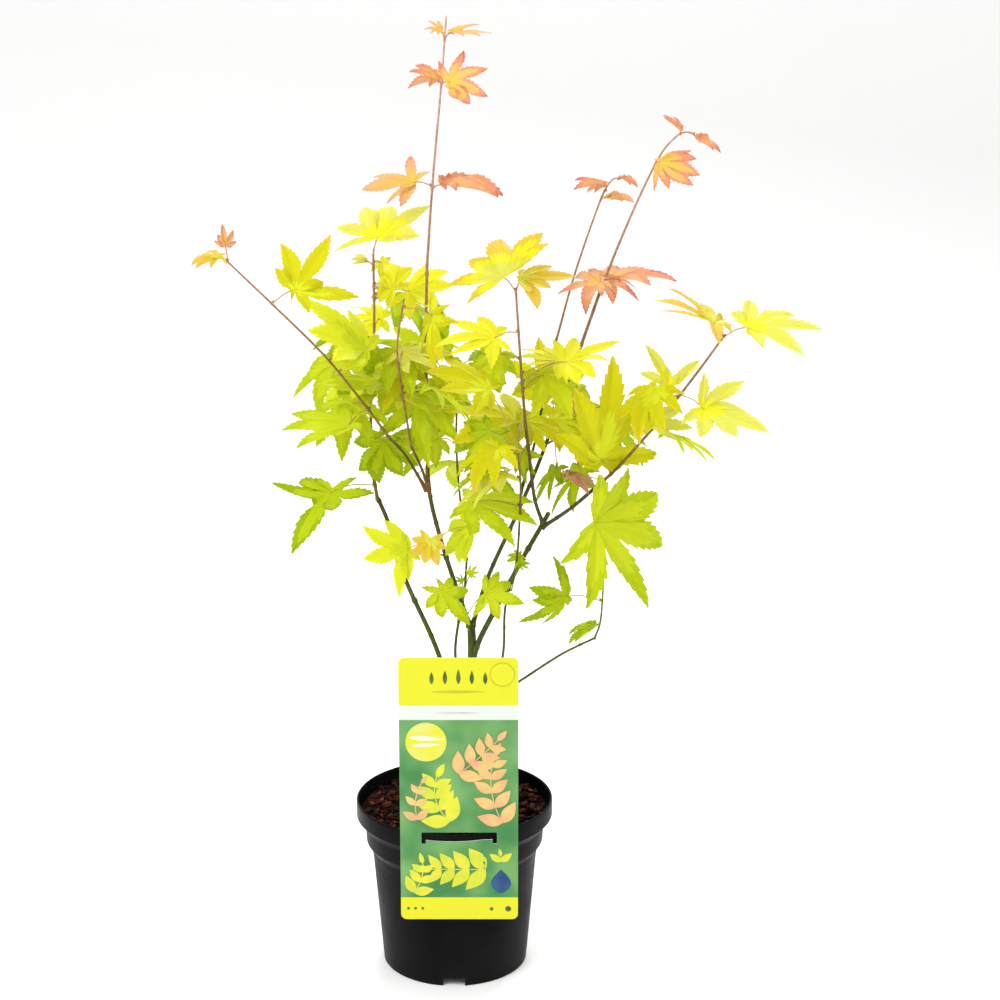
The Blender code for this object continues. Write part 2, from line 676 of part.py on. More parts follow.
def seeded_tries(name, stem, growth):
    """Return the places tried for the blades that the rule grows."""
    count, first, length, low, high = growth
    rng = random.Random(name)
    rows = []
    for i in range(count):
        share = low + (high - low) * (i + 0.5) / count
        spot = stem[min(len(stem) - 1, int(share * len(stem)))]
        turn = first + 137.5 * i + rng.uniform(-15, 15)
        size = length * rng.uniform(0.85, 1.1)
        reach = size * rng.uniform(0.45, 0.65)
        rise = rng.uniform(4, 14)
        dip = math.radians(rng.uniform(20, 45))
        tries = []
        for step in TURN_STEPS:
            a = math.radians(turn + step)
            out = Vector((math.cos(a), math.sin(a), 0.0))
            ahead = out * math.cos(dip) - Vector((0, 0, math.sin(dip)))
            up = out * math.sin(dip) + Vector((0, 0, math.cos(dip)))
            centre = spot + out * reach + Vector((0, 0, rise))
            tries.append((centre, (ahead, up.cross(ahead), up), size))
        rows.append(tries)
    return rows


def build_limbs(group, scratch, mat):
    """Build the trunk and boughs and return them with their grown cutters."""
    limbs, grown = {}, {}
    for name, parents, knots, start, end in LIMBS:
        points = smooth_path(knots, LIMB_STEP)
        radii = taper(points, start, end)
        if name == "trunk":
            points.insert(1, points[0].lerp(points[1], 0.35))
            radii.insert(1, radii[0])
            foot = points[0].z
            radii = [r + FLARE * math.exp(-(p.z - foot) * 3 / FLARE_REACH)
                     for p, r in zip(points, radii)]
            points[0].z = foot
        limb = tube(name, points, radii, group)
        if name == "trunk":
            level_foot(limb)
        for parent in parents:
            boolean(limb, grown[parent], "DIFFERENCE")
            keep_largest(limb)
        limb.data.materials.clear()
        limb.data.materials.append(mat)
        limbs[name] = limb
        tip = points[-1] + (points[-1] - points[-2]).normalized() * CLEAR
        butt = points[0] + (points[0] - points[1]).normalized() * CLEAR
        cutter = tube(name + "_grown", [butt, *points[1:-1], tip],
                      [r + CLEAR * 1.08 for r in radii], scratch)
        hide_cutter(cutter)
        grown[name] = cutter
    return limbs, grown


def level_foot(limb):
    """Flatten the trunk's foot to the level of the soil."""
    foot = LIMBS[0][2][0][2] * MM
    for vert in limb.data.vertices:
        if vert.co.z < foot + 2.5 * MM:
            vert.co.z = foot


def build_masses(group, scratch, grown, walls, mat):
    """Unite each mass of leaves and return the objects."""
    stems = {}
    for name, parents, knots, start, end, growth, placed in MASSES:
        points = smooth_path(knots, STEM_STEP)
        stem = tube(name, points, taper(points, start, end), group, 1)
        for parent in parents:
            boolean(stem, grown[parent], "DIFFERENCE")
            keep_largest(stem)
        stems[name] = (stem, points, object_tree(stem))
    taken = []
    for name, parents, knots, start, end, growth, placed in MASSES:
        stem, points, own_tree = stems[name]
        others = [s[2] for key, s in stems.items() if key != name]
        rows = [placed_tries(row) for row in placed]
        rows += seeded_tries(name, points, growth)
        own = []
        found = place_blades(rows, points, start, walls + others + taken,
                             [own_tree], own)
        taken += own
        if len(found) < len(rows):
            print(name, "skipped", len(rows) - len(found), "of", len(rows))
        pieces = bpy.data.collections.new(name + "_pieces")
        scratch.children.link(pieces)
        for i, (centre, axes, length, path, _, _) in enumerate(found):
            bm = blade_mesh(centre, axes, length)
            mesh = bpy.data.meshes.new(f"{name}_blade_{i}")
            bm.to_mesh(mesh)
            bm.free()
            add_object(mesh.name, mesh, pieces)
            tube(f"{name}_stalk_{i}", path, STALK_RADII, pieces, 0)
        mod = stem.modifiers.new("unite", "BOOLEAN")
        mod.operation = "UNION"
        mod.operand_type = "COLLECTION"
        mod.collection = pieces
        mod.solver = "EXACT"
        apply_modifiers(stem)
        for piece in list(pieces.objects):
            bpy.data.objects.remove(piece)
        bpy.data.collections.remove(pieces)
        keep_largest(stem)
        stem.data.materials.clear()
        stem.data.materials.append(mat)


def main():
    """Build the whole plant."""
    for obj in list(bpy.data.objects):
        bpy.data.objects.remove(obj)
    plant = new_collection("potted_maple")
    scratch = new_collection("cutters")
    black = material("pot_black_plastic", (0.012, 0.012, 0.013), 0.42)
    bark = material("soil_bark", (0.10, 0.035, 0.02), 0.9)
    card = material("tag_plastic", (0.85, 0.80, 0.08), 0.35)
    wood = material("limb_bark", (0.10, 0.12, 0.04), 0.6)
    leaf = material("leaf_green", (0.60, 0.70, 0.03), 0.5)
    cutters = []
    pot = build_pot(plant, cutters, black)
    for cutter in cutters:
        bpy.data.objects.remove(cutter)
    build_soil(plant, bark)
    tag = build_tag(plant, card)
    limbs, grown = build_limbs(plant, scratch, wood)
    bpy.context.view_layer.update()
    walls = [object_tree(o) for o in (pot, tag, *limbs.values())]
    build_masses(plant, scratch, grown, walls, leaf)
    for obj in plant.objects:
        if obj.name in limbs or obj.name in ("pot", "soil"):
            obj.data.shade_smooth()
            obj.data.set_sharp_from_angle(angle=math.radians(40))


main()
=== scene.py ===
"""Looks of a young maple in a black nursery pot with a hanging tag.

Sizes and places are in millimetres and become metres when a mesh is made.
X runs across, Y runs away from the viewer and Z runs up, from the middle of
the pot's flat underside.

Studio holds the floor, lights and camera.  Pot, Compost, Tag, Frame and
Crown build the plant's pieces.  Frame dresses the trunk and boughs in bark.
Crown grows the leaves again by the rule that grew the plain solids: each leaf
starts on the blade that its solid has, and some are then set further back.
"""

import logging
import math
import random
from dataclasses import dataclass, field, replace
from enum import Enum
from typing import Iterable, Sequence

import bmesh
import bpy
import numpy as np
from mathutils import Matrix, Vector
from mathutils.bvhtree import BVHTree

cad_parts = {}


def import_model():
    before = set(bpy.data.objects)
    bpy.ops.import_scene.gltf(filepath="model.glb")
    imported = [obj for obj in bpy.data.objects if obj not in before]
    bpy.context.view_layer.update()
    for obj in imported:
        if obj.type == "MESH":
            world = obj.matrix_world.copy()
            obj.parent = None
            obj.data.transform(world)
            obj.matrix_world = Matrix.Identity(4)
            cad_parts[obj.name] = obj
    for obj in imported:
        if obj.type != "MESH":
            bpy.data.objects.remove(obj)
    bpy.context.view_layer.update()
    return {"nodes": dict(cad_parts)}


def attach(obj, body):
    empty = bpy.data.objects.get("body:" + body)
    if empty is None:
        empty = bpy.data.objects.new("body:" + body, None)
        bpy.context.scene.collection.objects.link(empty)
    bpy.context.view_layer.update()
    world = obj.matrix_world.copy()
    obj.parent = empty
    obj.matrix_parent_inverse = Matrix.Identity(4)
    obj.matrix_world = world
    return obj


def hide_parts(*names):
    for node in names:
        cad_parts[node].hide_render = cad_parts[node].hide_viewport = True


MM = 0.001
BODY = "root"
EYE = np.array((40.0, -1800.0, 907.0))   # where the front elevation is seen from
SCAR = (-20.5, -21.5, 437.0)             # the middle of the swollen, rusty fork

# The rule that grows the leaves: lengths in mm, turns in degrees.
STEM_STEP = 26.0                         # between the points of a mass's stem
ROOT_CLEAR = 6.0                         # from the stem's root to the first stalk
GOLDEN_TURN = 137.5                      # from one seeded blade to the next
TURN_STEPS = (0, 25, -25, 50, -50, 80, -80, 115, -115, 150)
DEPTH_STEPS = (0, 6, -6, 12, -12, 20, -20, 30, -30)
DROOP = 0.11                             # of a leaf, times its radius squared
RUN_POWER = 0.92                         # brings margin points closer at the tip
TIP_LOBES = (0, 1, 2, 3, -1, -2, -3)     # the middle lobe, those right of it, those left
LEAF_SHARP = 75.0                        # angle past which a leaf's edges are sharp
STEM_SEED, LIMB_SEED, SPROUT_SEED = 60, 20, 9000

# Bare shoots that pass in front of the blades.
BARE_R, BARE_CLEAR = 2.0, 3.5            # their reach, and the room behind them
BACK_MOST = 56.0                         # the most that a blade is set back
BARE = (
    ((-21, -23, 431), (-38, -34, 464), (-52, -42, 482), (-71, -50, 512), (-100, -64, 553),
     (-130, -75, 587)),
    ((-24, -38, 452), (-33, -48, 476), (-38, -56, 517), (-42, -64, 549)),
    ((74, -41, 410), (68, -46, 430), (64, -54, 462), (60, -62, 497), (57, -68, 534),
     (54, -78, 575)))

Array = np.ndarray
Colour = tuple[float, float, float]
Stops = tuple[tuple[float, Colour], ...]
Socket = bpy.types.NodeSocket
Material = bpy.types.Material
log = logging.getLogger("plant")


# ---------------- numbers

def unit(vectors: Array) -> Array:
    """Return the vectors divided by their own lengths."""
    return vectors / np.linalg.norm(vectors, axis=-1, keepdims=True)


def smoothstep(x: Array) -> Array:
    """Return 3x^2 - 2x^3 with x held between 0 and 1."""
    x = np.clip(x, 0.0, 1.0)
    return x * x * (3.0 - 2.0 * x)


def smooth_path(knots: Sequence, step: float) -> Array:
    """Carry a Catmull-Rom curve through the knots.

    Between knots p1 and p2 the point at t is half of
    2 p1 + (p2 - p0) t + (2 p0 - 5 p1 + 4 p2 - p3) t^2
    + (3 p1 - p0 - 3 p2 + p3) t^3.

    Args:
        knots: places that the curve passes through.
        step: the distance wanted between neighbouring points.

    Returns:
        Points (n, 3), about a step apart.
    """
    knots = np.asarray(knots, float)
    ends = np.vstack((2 * knots[0] - knots[1], knots, 2 * knots[-1] - knots[-2]))
    runs = [knots[:1]]
    for p0, p1, p2, p3 in zip(ends, ends[1:], ends[2:], ends[3:]):
        count = max(1, round(float(np.linalg.norm(p2 - p1)) / step))
        t = (np.arange(1, count + 1) / count)[:, None]
        runs.append(0.5 * (2 * p1 + (p2 - p0) * t + (2 * p0 - 5 * p1 + 4 * p2 - p3) * t ** 2
                           + (3 * p1 - p0 - 3 * p2 + p3) * t ** 3))
    return np.vstack(runs)


def run_lengths(path: Array) -> Array:
    """Return the length of the path up to each of its points."""
    steps = np.linalg.norm(np.diff(path, axis=0), axis=1)
    return np.concatenate(([0.0], np.cumsum(steps)))


def waves(seed: int, *coords: Array, count: int = 5) -> Array:
    """Sum a few sines of random direction, pitch and phase: smooth noise.

    Args:
        seed: seed of the random numbers.
        count: how many sines are summed.
        coords: arrays of one shape, each already scaled to its pitch.

    Returns:
        Noise of about -1 to 1, of the same shape.
    """
    rng = np.random.default_rng(seed)
    total = np.zeros(np.broadcast(*coords).shape)
    for _ in range(count):
        turn = sum(rng.uniform(-1.6, 1.6) * c for c in coords)
        total += np.sin(turn + rng.uniform(0, math.tau))
    return total / count


def ring(count: int) -> Array:
    """Return evenly spaced angles round a full turn."""
    return np.arange(count) * math.tau / count


# ---------------- meshes

@dataclass
class Shell:
    """A surface: its vertices in mm, its faces by size and each face's paint."""

    points: Array
    faces: list[Array] = field(default_factory=list)
    paints: list[Array] = field(default_factory=list)

    def add_faces(self, faces: Array, paint: int | Array = 0) -> "Shell":
        """Add faces.

        Args:
            faces: vertex numbers (n, corners).
            paint: one for all the faces, or one each.

        Returns:
            The shell itself.
        """
        self.faces.append(np.asarray(faces, int))
        self.paints.append(np.broadcast_to(np.asarray(paint, int), len(faces)).copy())
        return self

    @classmethod
    def grid(cls, points: Array, wrap: bool = False, paint: int | Array = 0) -> "Shell":
        """Join a grid of points into quads.

        Args:
            points: (rows, columns, 3); the faces look along (next column) x (next row).
            wrap: whether the last column joins the first.
            paint: material index, or one for each quad (rows - 1, columns).

        Returns:
            The shell.
        """
        rows, columns = points.shape[:2]
        index = np.arange(rows * columns).reshape(rows, columns)
        if wrap:
            index = np.hstack((index, index[:, :1]))
        return cls(points.reshape(-1, 3)).add_faces(
            grid_quads(index), paint if np.isscalar(paint) else np.ravel(paint))

    @classmethod
    def joined(cls, shells: Iterable["Shell"]) -> "Shell":
        """Return many shells as one.

        Args:
            shells: the surfaces, in order.

        Returns:
            One shell with all of their faces.
        """
        shells = list(shells)
        offsets = np.cumsum([0] + [len(s.points) for s in shells])
        made = cls(np.vstack([s.points for s in shells]))
        for size in (3, 4):
            found = [(f + o, p) for s, o in zip(shells, offsets)
                     for f, p in zip(s.faces, s.paints) if f.shape[1] == size]
            if found:
                made.add_faces(np.vstack([f for f, _ in found]),
                               np.concatenate([p for _, p in found]))
        return made

    def capped(self, low: Sequence, high: Sequence, sides: int, paints: Sequence = (0, 0)) -> "Shell":
        """Close a wrapped grid by a fan round a low and a high point.

        Args:
            low: the first fan's point.
            high: the last fan's point.
            sides: vertices in a ring.
            paints: of the two fans.

        Returns:
            The shell itself.
        """
        count = len(self.points)
        self.points = np.vstack((self.points, low, high))
        first, last = np.arange(sides), count - sides + np.arange(sides)
        for pole, a, b, paint in ((count, np.roll(first, -1), first, paints[0]),
                                  (count + 1, last, np.roll(last, -1), paints[1])):
            self.add_faces(np.stack((np.full(sides, pole), a, b), -1), paint)
        return self

    def thickened(self, offset: Array, paint: int) -> "Shell":
        """Close an open sheet of quads into a plate.

        The far side is the sheet moved by the offset, turned over, and each
        edge that only one quad has becomes a quad of the rim.

        Args:
            offset: the move from the near side to the far side.
            paint: the material index of the far side and the rim.

        Returns:
            The closed plate.
        """
        quads, count = self.faces[0], len(self.points)
        edges = np.stack((quads, np.roll(quads, -1, axis=1)), -1).reshape(-1, 2)
        forward = edges[:, 0] * count + edges[:, 1]
        alone = edges[~np.isin(forward, edges[:, 1] * count + edges[:, 0])]
        rim = np.stack((alone[:, 1], alone[:, 0], alone[:, 0] + count, alone[:, 1] + count), -1)
        plate = Shell(np.vstack((self.points, self.points + offset)), self.faces, self.paints)
        return plate.add_faces(quads[:, ::-1] + count, paint).add_faces(rim, paint)

    def to_object(self, name: str, finishes: Sequence[Material],
                  sharp: float | None = 50.0, closed: bool = True) -> bpy.types.Object:
        """Put the surface into a new object.

        Args:
            name: the object's name.
            finishes: its materials, in the order of the paints.
            sharp: angle in degrees past which an edge is sharp, or None for flat faces.
            closed: whether the normals of this closed surface are recalculated.

        Returns:
            The object, at the origin.
        """
        mesh = bpy.data.meshes.new(name)
        sizes = np.concatenate([np.full(len(f), f.shape[1]) for f in self.faces])
        corners = np.concatenate([f.ravel() for f in self.faces])
        mesh.vertices.add(len(self.points))
        mesh.vertices.foreach_set("co", np.ravel(self.points * MM).astype(np.float32))
        mesh.loops.add(len(corners))
        mesh.loops.foreach_set("vertex_index", corners.astype(np.int32))
        mesh.polygons.add(len(sizes))
        mesh.polygons.foreach_set("loop_start", (np.cumsum(sizes) - sizes).astype(np.int32))
        mesh.polygons.foreach_set("material_index", np.concatenate(self.paints).astype(np.int32))
        mesh.update(calc_edges=True)
        mesh.validate()
        if closed:
            stock = bmesh.new()
            stock.from_mesh(mesh)
            bmesh.ops.recalc_face_normals(stock, faces=stock.faces)
            stock.to_mesh(mesh)
            stock.free()
        for finish in finishes:
            mesh.materials.append(finish)
        if sharp is not None:
            smooth(mesh, sharp)
        piece = bpy.data.objects.new(name, mesh)
        bpy.context.scene.collection.objects.link(piece)
        return piece


def grid_quads(index: Array) -> Array:
    """Return the quads (n, 4) between the rows and columns of vertex numbers."""
    return np.stack((index[:-1, :-1], index[:-1, 1:], index[1:, 1:], index[1:, :-1]),
                    -1).reshape(-1, 4)


def smooth(mesh: bpy.types.Mesh, angle: float) -> None:
    """Shade a mesh smooth, with sharp edges past an angle in degrees."""
    mesh.shade_smooth()
    mesh.set_sharp_from_angle(angle=math.radians(angle))


def tube(path: Array, radii: Array, sides: int, paint: int | Array = 0) -> Shell:
    """Carry a ring along a path and close both ends with a point.

    Ring point = path + radius (N cos u + B sin u), where T is the path's
    direction, N is the part of a fixed axis square to T, and B = T x N.

    Args:
        path: the middle line (n, 3).
        radii: one radius a point (n,), or one a ring point (n, sides).
        sides: points in a ring.
        paint: material index, or one for each ring gap (n - 1,).

    Returns:
        The closed tube, facing outwards.
    """
    tangent = unit(np.gradient(path, axis=0))
    axis = np.eye(3)[np.argmin(np.abs(tangent).max(axis=0))]
    normal = unit(axis - tangent * (tangent @ axis)[:, None])
    across = np.cross(tangent, normal)
    turn = ring(sides)[:, None]
    radii = np.broadcast_to(radii if np.ndim(radii) == 2 else np.asarray(radii)[:, None],
                            (len(path), sides))[..., None]
    rings = path[:, None] + radii * (normal[:, None] * np.cos(turn) + across[:, None] * np.sin(turn))
    one = np.isscalar(paint)
    shell = Shell.grid(rings, True, paint if one else np.repeat(np.asarray(paint), sides))
    return shell.capped(path[0], path[-1], sides, (paint, paint) if one else (paint[0], paint[-1]))


def lathe(profile: Array, sides: int) -> Shell:
    """Turn a closed (radius, height) profile about Z.

    A profile that starts and ends on the axis has one point for each pole.

    Args:
        profile: (n, 2) from the axis outwards and back to the axis.
        sides: points in a ring.

    Returns:
        The closed shell.
    """
    turn, inner = ring(sides), profile[1:-1]
    points = np.stack((inner[:, :1] * np.cos(turn), inner[:, :1] * np.sin(turn),
                       np.repeat(inner[:, 1:], sides, axis=1)), -1)
    return Shell.grid(points, wrap=True).capped(
        (0.0, 0.0, profile[0, 1]), (0.0, 0.0, profile[-1, 1]), sides)


def rounded(corners: Sequence, radius: float, steps: int = 4) -> Array:
    """Round each inner corner of an open profile by a quadratic curve.

    The curve starts and ends a radius, or 40% of the shorter side, from the
    corner C: (1 - t)^2 A + 2 t (1 - t) C + t^2 B.

    Args:
        corners: (radius, height) pairs.
        radius: how far from its corner a curve starts.
        steps: gaps along one curve.

    Returns:
        The finer profile (n, 2).
    """
    corners = np.asarray(corners, float)
    corner, back, ahead = corners[1:-1], corners[:-2] - corners[1:-1], corners[2:] - corners[1:-1]
    sides = np.linalg.norm(back, axis=1), np.linalg.norm(ahead, axis=1)
    reach = np.minimum(radius, 0.4 * np.minimum(*sides))
    start = corner + back * (reach / sides[0])[:, None]
    end = corner + ahead * (reach / sides[1])[:, None]
    t = np.linspace(0, 1, steps + 1)[None, :, None]
    arcs = (1 - t) ** 2 * start[:, None] + 2 * t * (1 - t) * corner[:, None] + t ** 2 * end[:, None]
    return np.vstack((corners[:1], arcs.reshape(-1, 2), corners[-1:]))


def place(piece: bpy.types.Object, slot: str, *nodes: str) -> bpy.types.Object:
    """Hang a finished piece on the plant in place of its CAD nodes.

    Args:
        piece: the finished object.
        slot: the name of its kind of finish; not used.
        nodes: the CAD nodes that it replaces.

    Returns:
        The piece.
    """
    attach(piece, BODY)
    if nodes:
        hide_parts(*nodes)
    log.info("%s: %d faces", piece.name, len(piece.data.polygons))
    return piece


# ---------------- finishes

class Sheet:
    """Short calls for laying out one node tree."""

    def __init__(self, tree: bpy.types.NodeTree) -> None:
        """Keep the tree."""
        self.tree = tree

    def feed(self, socket: Socket, value: object) -> None:
        """Link a socket to another, or set its value.

        Args:
            socket: the input.
            value: a socket, a colour or a plain value.
        """
        if isinstance(value, Socket):
            self.tree.links.new(value, socket)
        elif isinstance(value, tuple) and len(value) == 3 and socket.type == "RGBA":
            socket.default_value = (*value, 1.0)
        else:
            socket.default_value = value

    def node(self, kind: str, feeds: dict | None = None, **settings: object) -> bpy.types.Node:
        """Add a node, set its own properties and feed its inputs.

        Args:
            kind: the node's type.
            feeds: sockets or values, by input.
            settings: its own properties.

        Returns:
            The node.
        """
        made = self.tree.nodes.new(kind)
        for key, value in settings.items():
            setattr(made, key, value)
        for key, value in (feeds or {}).items():
            self.feed(made.inputs[key], value)
        return made

    def math(self, operation: str, *values: object) -> Socket:
        """Return the result of a Math node."""
        return self.node("ShaderNodeMath", dict(enumerate(values)), operation=operation).outputs[0]

    def blend(self, share: object, first: object, second: object) -> Socket:
        """Return a colour mixed from two by a share."""
        return self.node("ShaderNodeMix", {0: share, 6: first, 7: second},
                         data_type="RGBA").outputs[2]

    def ramp(self, share: object, stops: Stops) -> Socket:
        """Return a colour from a ramp of (place, colour) stops.

        Args:
            share: where on the ramp.
            stops: places and colours.

        Returns:
            The colour.
        """
        made = self.node("ShaderNodeValToRGB", {0: share})
        elements = made.color_ramp.elements
        while len(elements) < len(stops):
            elements.new(0.5)
        for element, (spot, colour) in zip(elements, stops):
            element.position = spot
            element.color = (*colour, 1.0)
        return made.outputs[0]

    def span(self, *values: object) -> Socket:
        """Return a value moved from one range to another (or 0..1), clamped."""
        return self.node("ShaderNodeMapRange", dict(enumerate(values))).outputs[0]

    def place(self) -> Socket:
        """Return the place on the plant, in metres."""
        return self.node("ShaderNodeTexCoord").outputs["Object"]


def grain_group() -> bpy.types.NodeTree:
    """Return the shared grain: fine noise, broad patches and round specks.

    Stretch squeezes the pattern along Z so that streaks run upwards.

    Returns:
        The node group, which is made once.
    """
    found = bpy.data.node_groups.get("surface_grain")
    if found:
        return found
    group = bpy.data.node_groups.new("surface_grain", "ShaderNodeTree")
    for name, start in (("Size", 1.0), ("Stretch", 1.0), ("Patch Size", 20.0)):
        socket = group.interface.new_socket(name, in_out="INPUT", socket_type="NodeSocketFloat")
        socket.default_value = start
    for name in ("Height", "Patches", "Specks"):
        group.interface.new_socket(name, in_out="OUTPUT", socket_type="NodeSocketFloat")
    sheet = Sheet(group)
    source = sheet.node("NodeGroupInput").outputs
    squeeze = sheet.node("ShaderNodeCombineXYZ", {
        0: 1.0, 1: 1.0, 2: sheet.math("DIVIDE", 1.0, source["Stretch"])}).outputs[0]
    spot = sheet.node("ShaderNodeVectorMath", {0: sheet.place(), 1: squeeze},
                      operation="MULTIPLY").outputs[0]
    fine, broad, dots = (
        sheet.node(kind, {"Vector": spot, "Scale": sheet.math("DIVIDE", pitch, source[size]), **rest})
        for kind, pitch, size, rest in (
            ("ShaderNodeTexNoise", 1000.0, "Size", {"Detail": 4.0}),
            ("ShaderNodeTexNoise", 1000.0, "Patch Size", {"Detail": 2.0}),
            ("ShaderNodeTexVoronoi", 350.0, "Size", {})))
    sheet.node("NodeGroupOutput", {
        "Height": fine.outputs[0], "Patches": sheet.span(broad.outputs[0], 0.35, 0.65),
        "Specks": sheet.span(dots.outputs["Distance"], 0.16, 0.05)})
    return group


@dataclass(frozen=True)
class Finish:
    """What every finish shares: a name and its grain, sizes in millimetres.

    Stretch is how much longer than wide the grain is, patch the size of the
    broad patches, roughness the smoothest and the roughest value, and relief
    the depth of the grain.
    """

    name: str
    grain: float = 1.0
    stretch: float = 1.0
    patch: float = 20.0
    roughness: tuple[float, float] = (0.4, 0.55)
    relief: float = 0.1
    specular: float = 0.2

    def base(self, sheet: Sheet, height: Socket, patches: Socket, specks: Socket) -> object:
        """Return the base colour, made from the grain's three masks.

        Args:
            sheet: the material's node tree.
            height: the fine noise.
            patches: the broad patches.
            specks: the round specks.

        Returns:
            A socket or a plain colour.
        """
        raise NotImplementedError

    def material(self) -> Material:
        """Return the material.

        Returns:
            The material, under the finish's name.
        """
        mat = bpy.data.materials.new(self.name)
        mat.use_nodes = True
        sheet = Sheet(mat.node_tree)
        grain = sheet.node("ShaderNodeGroup", node_tree=grain_group())
        for socket, value in zip(grain.inputs, (self.grain, self.stretch, self.patch)):
            socket.default_value = value
        height, patches, specks = grain.outputs
        relief = sheet.node("ShaderNodeBump", {"Strength": 0.6, "Distance": self.relief * MM,
                                               "Height": height})
        for name, value in (("Specular IOR Level", self.specular),
                            ("Roughness", sheet.span(patches, 0.0, 1.0, *self.roughness)),
                            ("Normal", relief.outputs[0]),
                            ("Base Color", self.base(sheet, height, patches, specks))):
            sheet.feed(mat.node_tree.nodes["Principled BSDF"].inputs[name], value)
        return mat


def height_share(sheet: Sheet, low: float, high: float) -> Socket:
    """Return 0 at one height of the plant and 1 at another, in mm."""
    split = sheet.node("ShaderNodeSeparateXYZ", {0: sheet.place()})
    return sheet.span(split.outputs[2], low * MM, high * MM)


@dataclass(frozen=True)
class MouldedPlastic(Finish):
    """Satin moulded plastic with broad cloudy patches and a little dust."""

    colour: Colour = (0.0016, 0.0016, 0.0017)
    cloud: Colour = (0.0040, 0.0040, 0.0042)
    dust: Colour = (0.060, 0.055, 0.050)
    dust_share: float = 0.14
    dust_top: float = 60.0

    def base(self, sheet: Sheet, height: Socket, patches: Socket, specks: Socket) -> object:
        """Return the base colour, dusty towards the foot.

        Args:
            sheet: the material's node tree.
            height: the fine noise.
            patches: the clouds.
            specks: not used.

        Returns:
            The colour.
        """
        low = height_share(sheet, self.dust_top, 0.0)
        dusty = sheet.math("MULTIPLY", sheet.math("MULTIPLY", low, self.dust_share), height)
        return sheet.blend(dusty, sheet.blend(patches, self.colour, self.cloud), self.dust)


@dataclass(frozen=True)
class YoungBark(Finish):
    """Smooth young bark that turns from green to red up the plant.

    Its stops run from the height low to the height high.  Specks are small
    pale pores, scar is the colour round the swollen fork, and dark the one
    in the hollows of the grain.
    """

    low: float = 300.0
    high: float = 815.0
    stops: Stops = ()
    specks: Colour = (0.32, 0.26, 0.17)
    scar: Colour = (0.20, 0.065, 0.008)
    dark: Colour = (0.020, 0.018, 0.010)

    def base(self, sheet: Sheet, height: Socket, patches: Socket, specks: Socket) -> object:
        """Return the base colour, rusty round the fork.

        Args:
            sheet: the material's node tree.
            height: the fine noise.
            patches: the broad patches.
            specks: the pores.

        Returns:
            The colour.
        """
        rise = sheet.math("ADD", height_share(sheet, self.low, self.high),
                          sheet.span(patches, 0.0, 1.0, -0.05, 0.05))
        skin = sheet.blend(sheet.span(height, 0.35, 0.65, 0.55, 0.0),
                           sheet.ramp(rise, self.stops), self.dark)
        away = sheet.node("ShaderNodeVectorMath", {0: sheet.place(), 1: [c * MM for c in SCAR]},
                          operation="DISTANCE").outputs["Value"]
        skin = sheet.blend(sheet.span(away, 6 * MM, 13 * MM, 0.9, 0.0), skin, self.scar)
        return sheet.blend(sheet.math("MULTIPLY", specks, 0.5), skin, self.specks)


@dataclass(frozen=True)
class BarkChip(Finish):
    """A flake of composted bark, mottled between a dark and a light tone."""

    patch: float = 7.0
    roughness: tuple[float, float] = (0.7, 0.9)
    relief: float = 0.35
    specular: float = 0.06
    dark: Colour = (0.012, 0.0030, 0.0018)
    light: Colour = (0.088, 0.017, 0.008)

    def base(self, sheet: Sheet, height: Socket, patches: Socket, specks: Socket) -> object:
        """Return the mottled colour."""
        share = sheet.math("MULTIPLY", sheet.span(height, 0.38, 0.62),
                           sheet.span(patches, 0, 1, 0.45, 1))
        return sheet.blend(share, self.dark, self.light)


@dataclass(frozen=True)
class PrintedCard(Finish):
    """Glossy printed card, with two inks that drift into each other."""

    grain: float = 0.6
    roughness: tuple[float, float] = (0.3, 0.4)
    relief: float = 0.02
    specular: float = 0.15
    ink: Colour = (1.0, 1.0, 1.0)
    drift: Colour = (0.97, 0.97, 0.97)

    def base(self, sheet: Sheet, height: Socket, patches: Socket, specks: Socket) -> object:
        """Return the drifting ink."""
        return sheet.blend(patches, self.ink, self.drift)


@dataclass(frozen=True)
class LeafTissue(Finish):
    """One plain leaf colour, thin enough for light to come through."""

    grain: float = 0.9
    patch: float = 14.0
    roughness: tuple[float, float] = (0.40, 0.52)
    relief: float = 0.05
    specular: float = 0.07
    colour: Colour = (0.5, 0.6, 0.02)
    through: float = 0.42

    def base(self, sheet: Sheet, height: Socket, patches: Socket, specks: Socket) -> object:
        """Return the plain colour."""
        return self.colour

    def material(self) -> Material:
        """Return the material, with light that comes through the leaf.

        Returns:
            The material.
        """
        mat = super().material()
        sheet, nodes = Sheet(mat.node_tree), mat.node_tree.nodes
        glow = sheet.node("ShaderNodeBsdfTranslucent", {"Color": self.colour})
        mixed = sheet.node("ShaderNodeMixShader", {
            0: self.through, 1: nodes["Principled BSDF"].outputs[0], 2: glow.outputs[0]})
        sheet.feed(nodes["Material Output"].inputs["Surface"], mixed.outputs[0])
        return mat


# ---------------- the pot

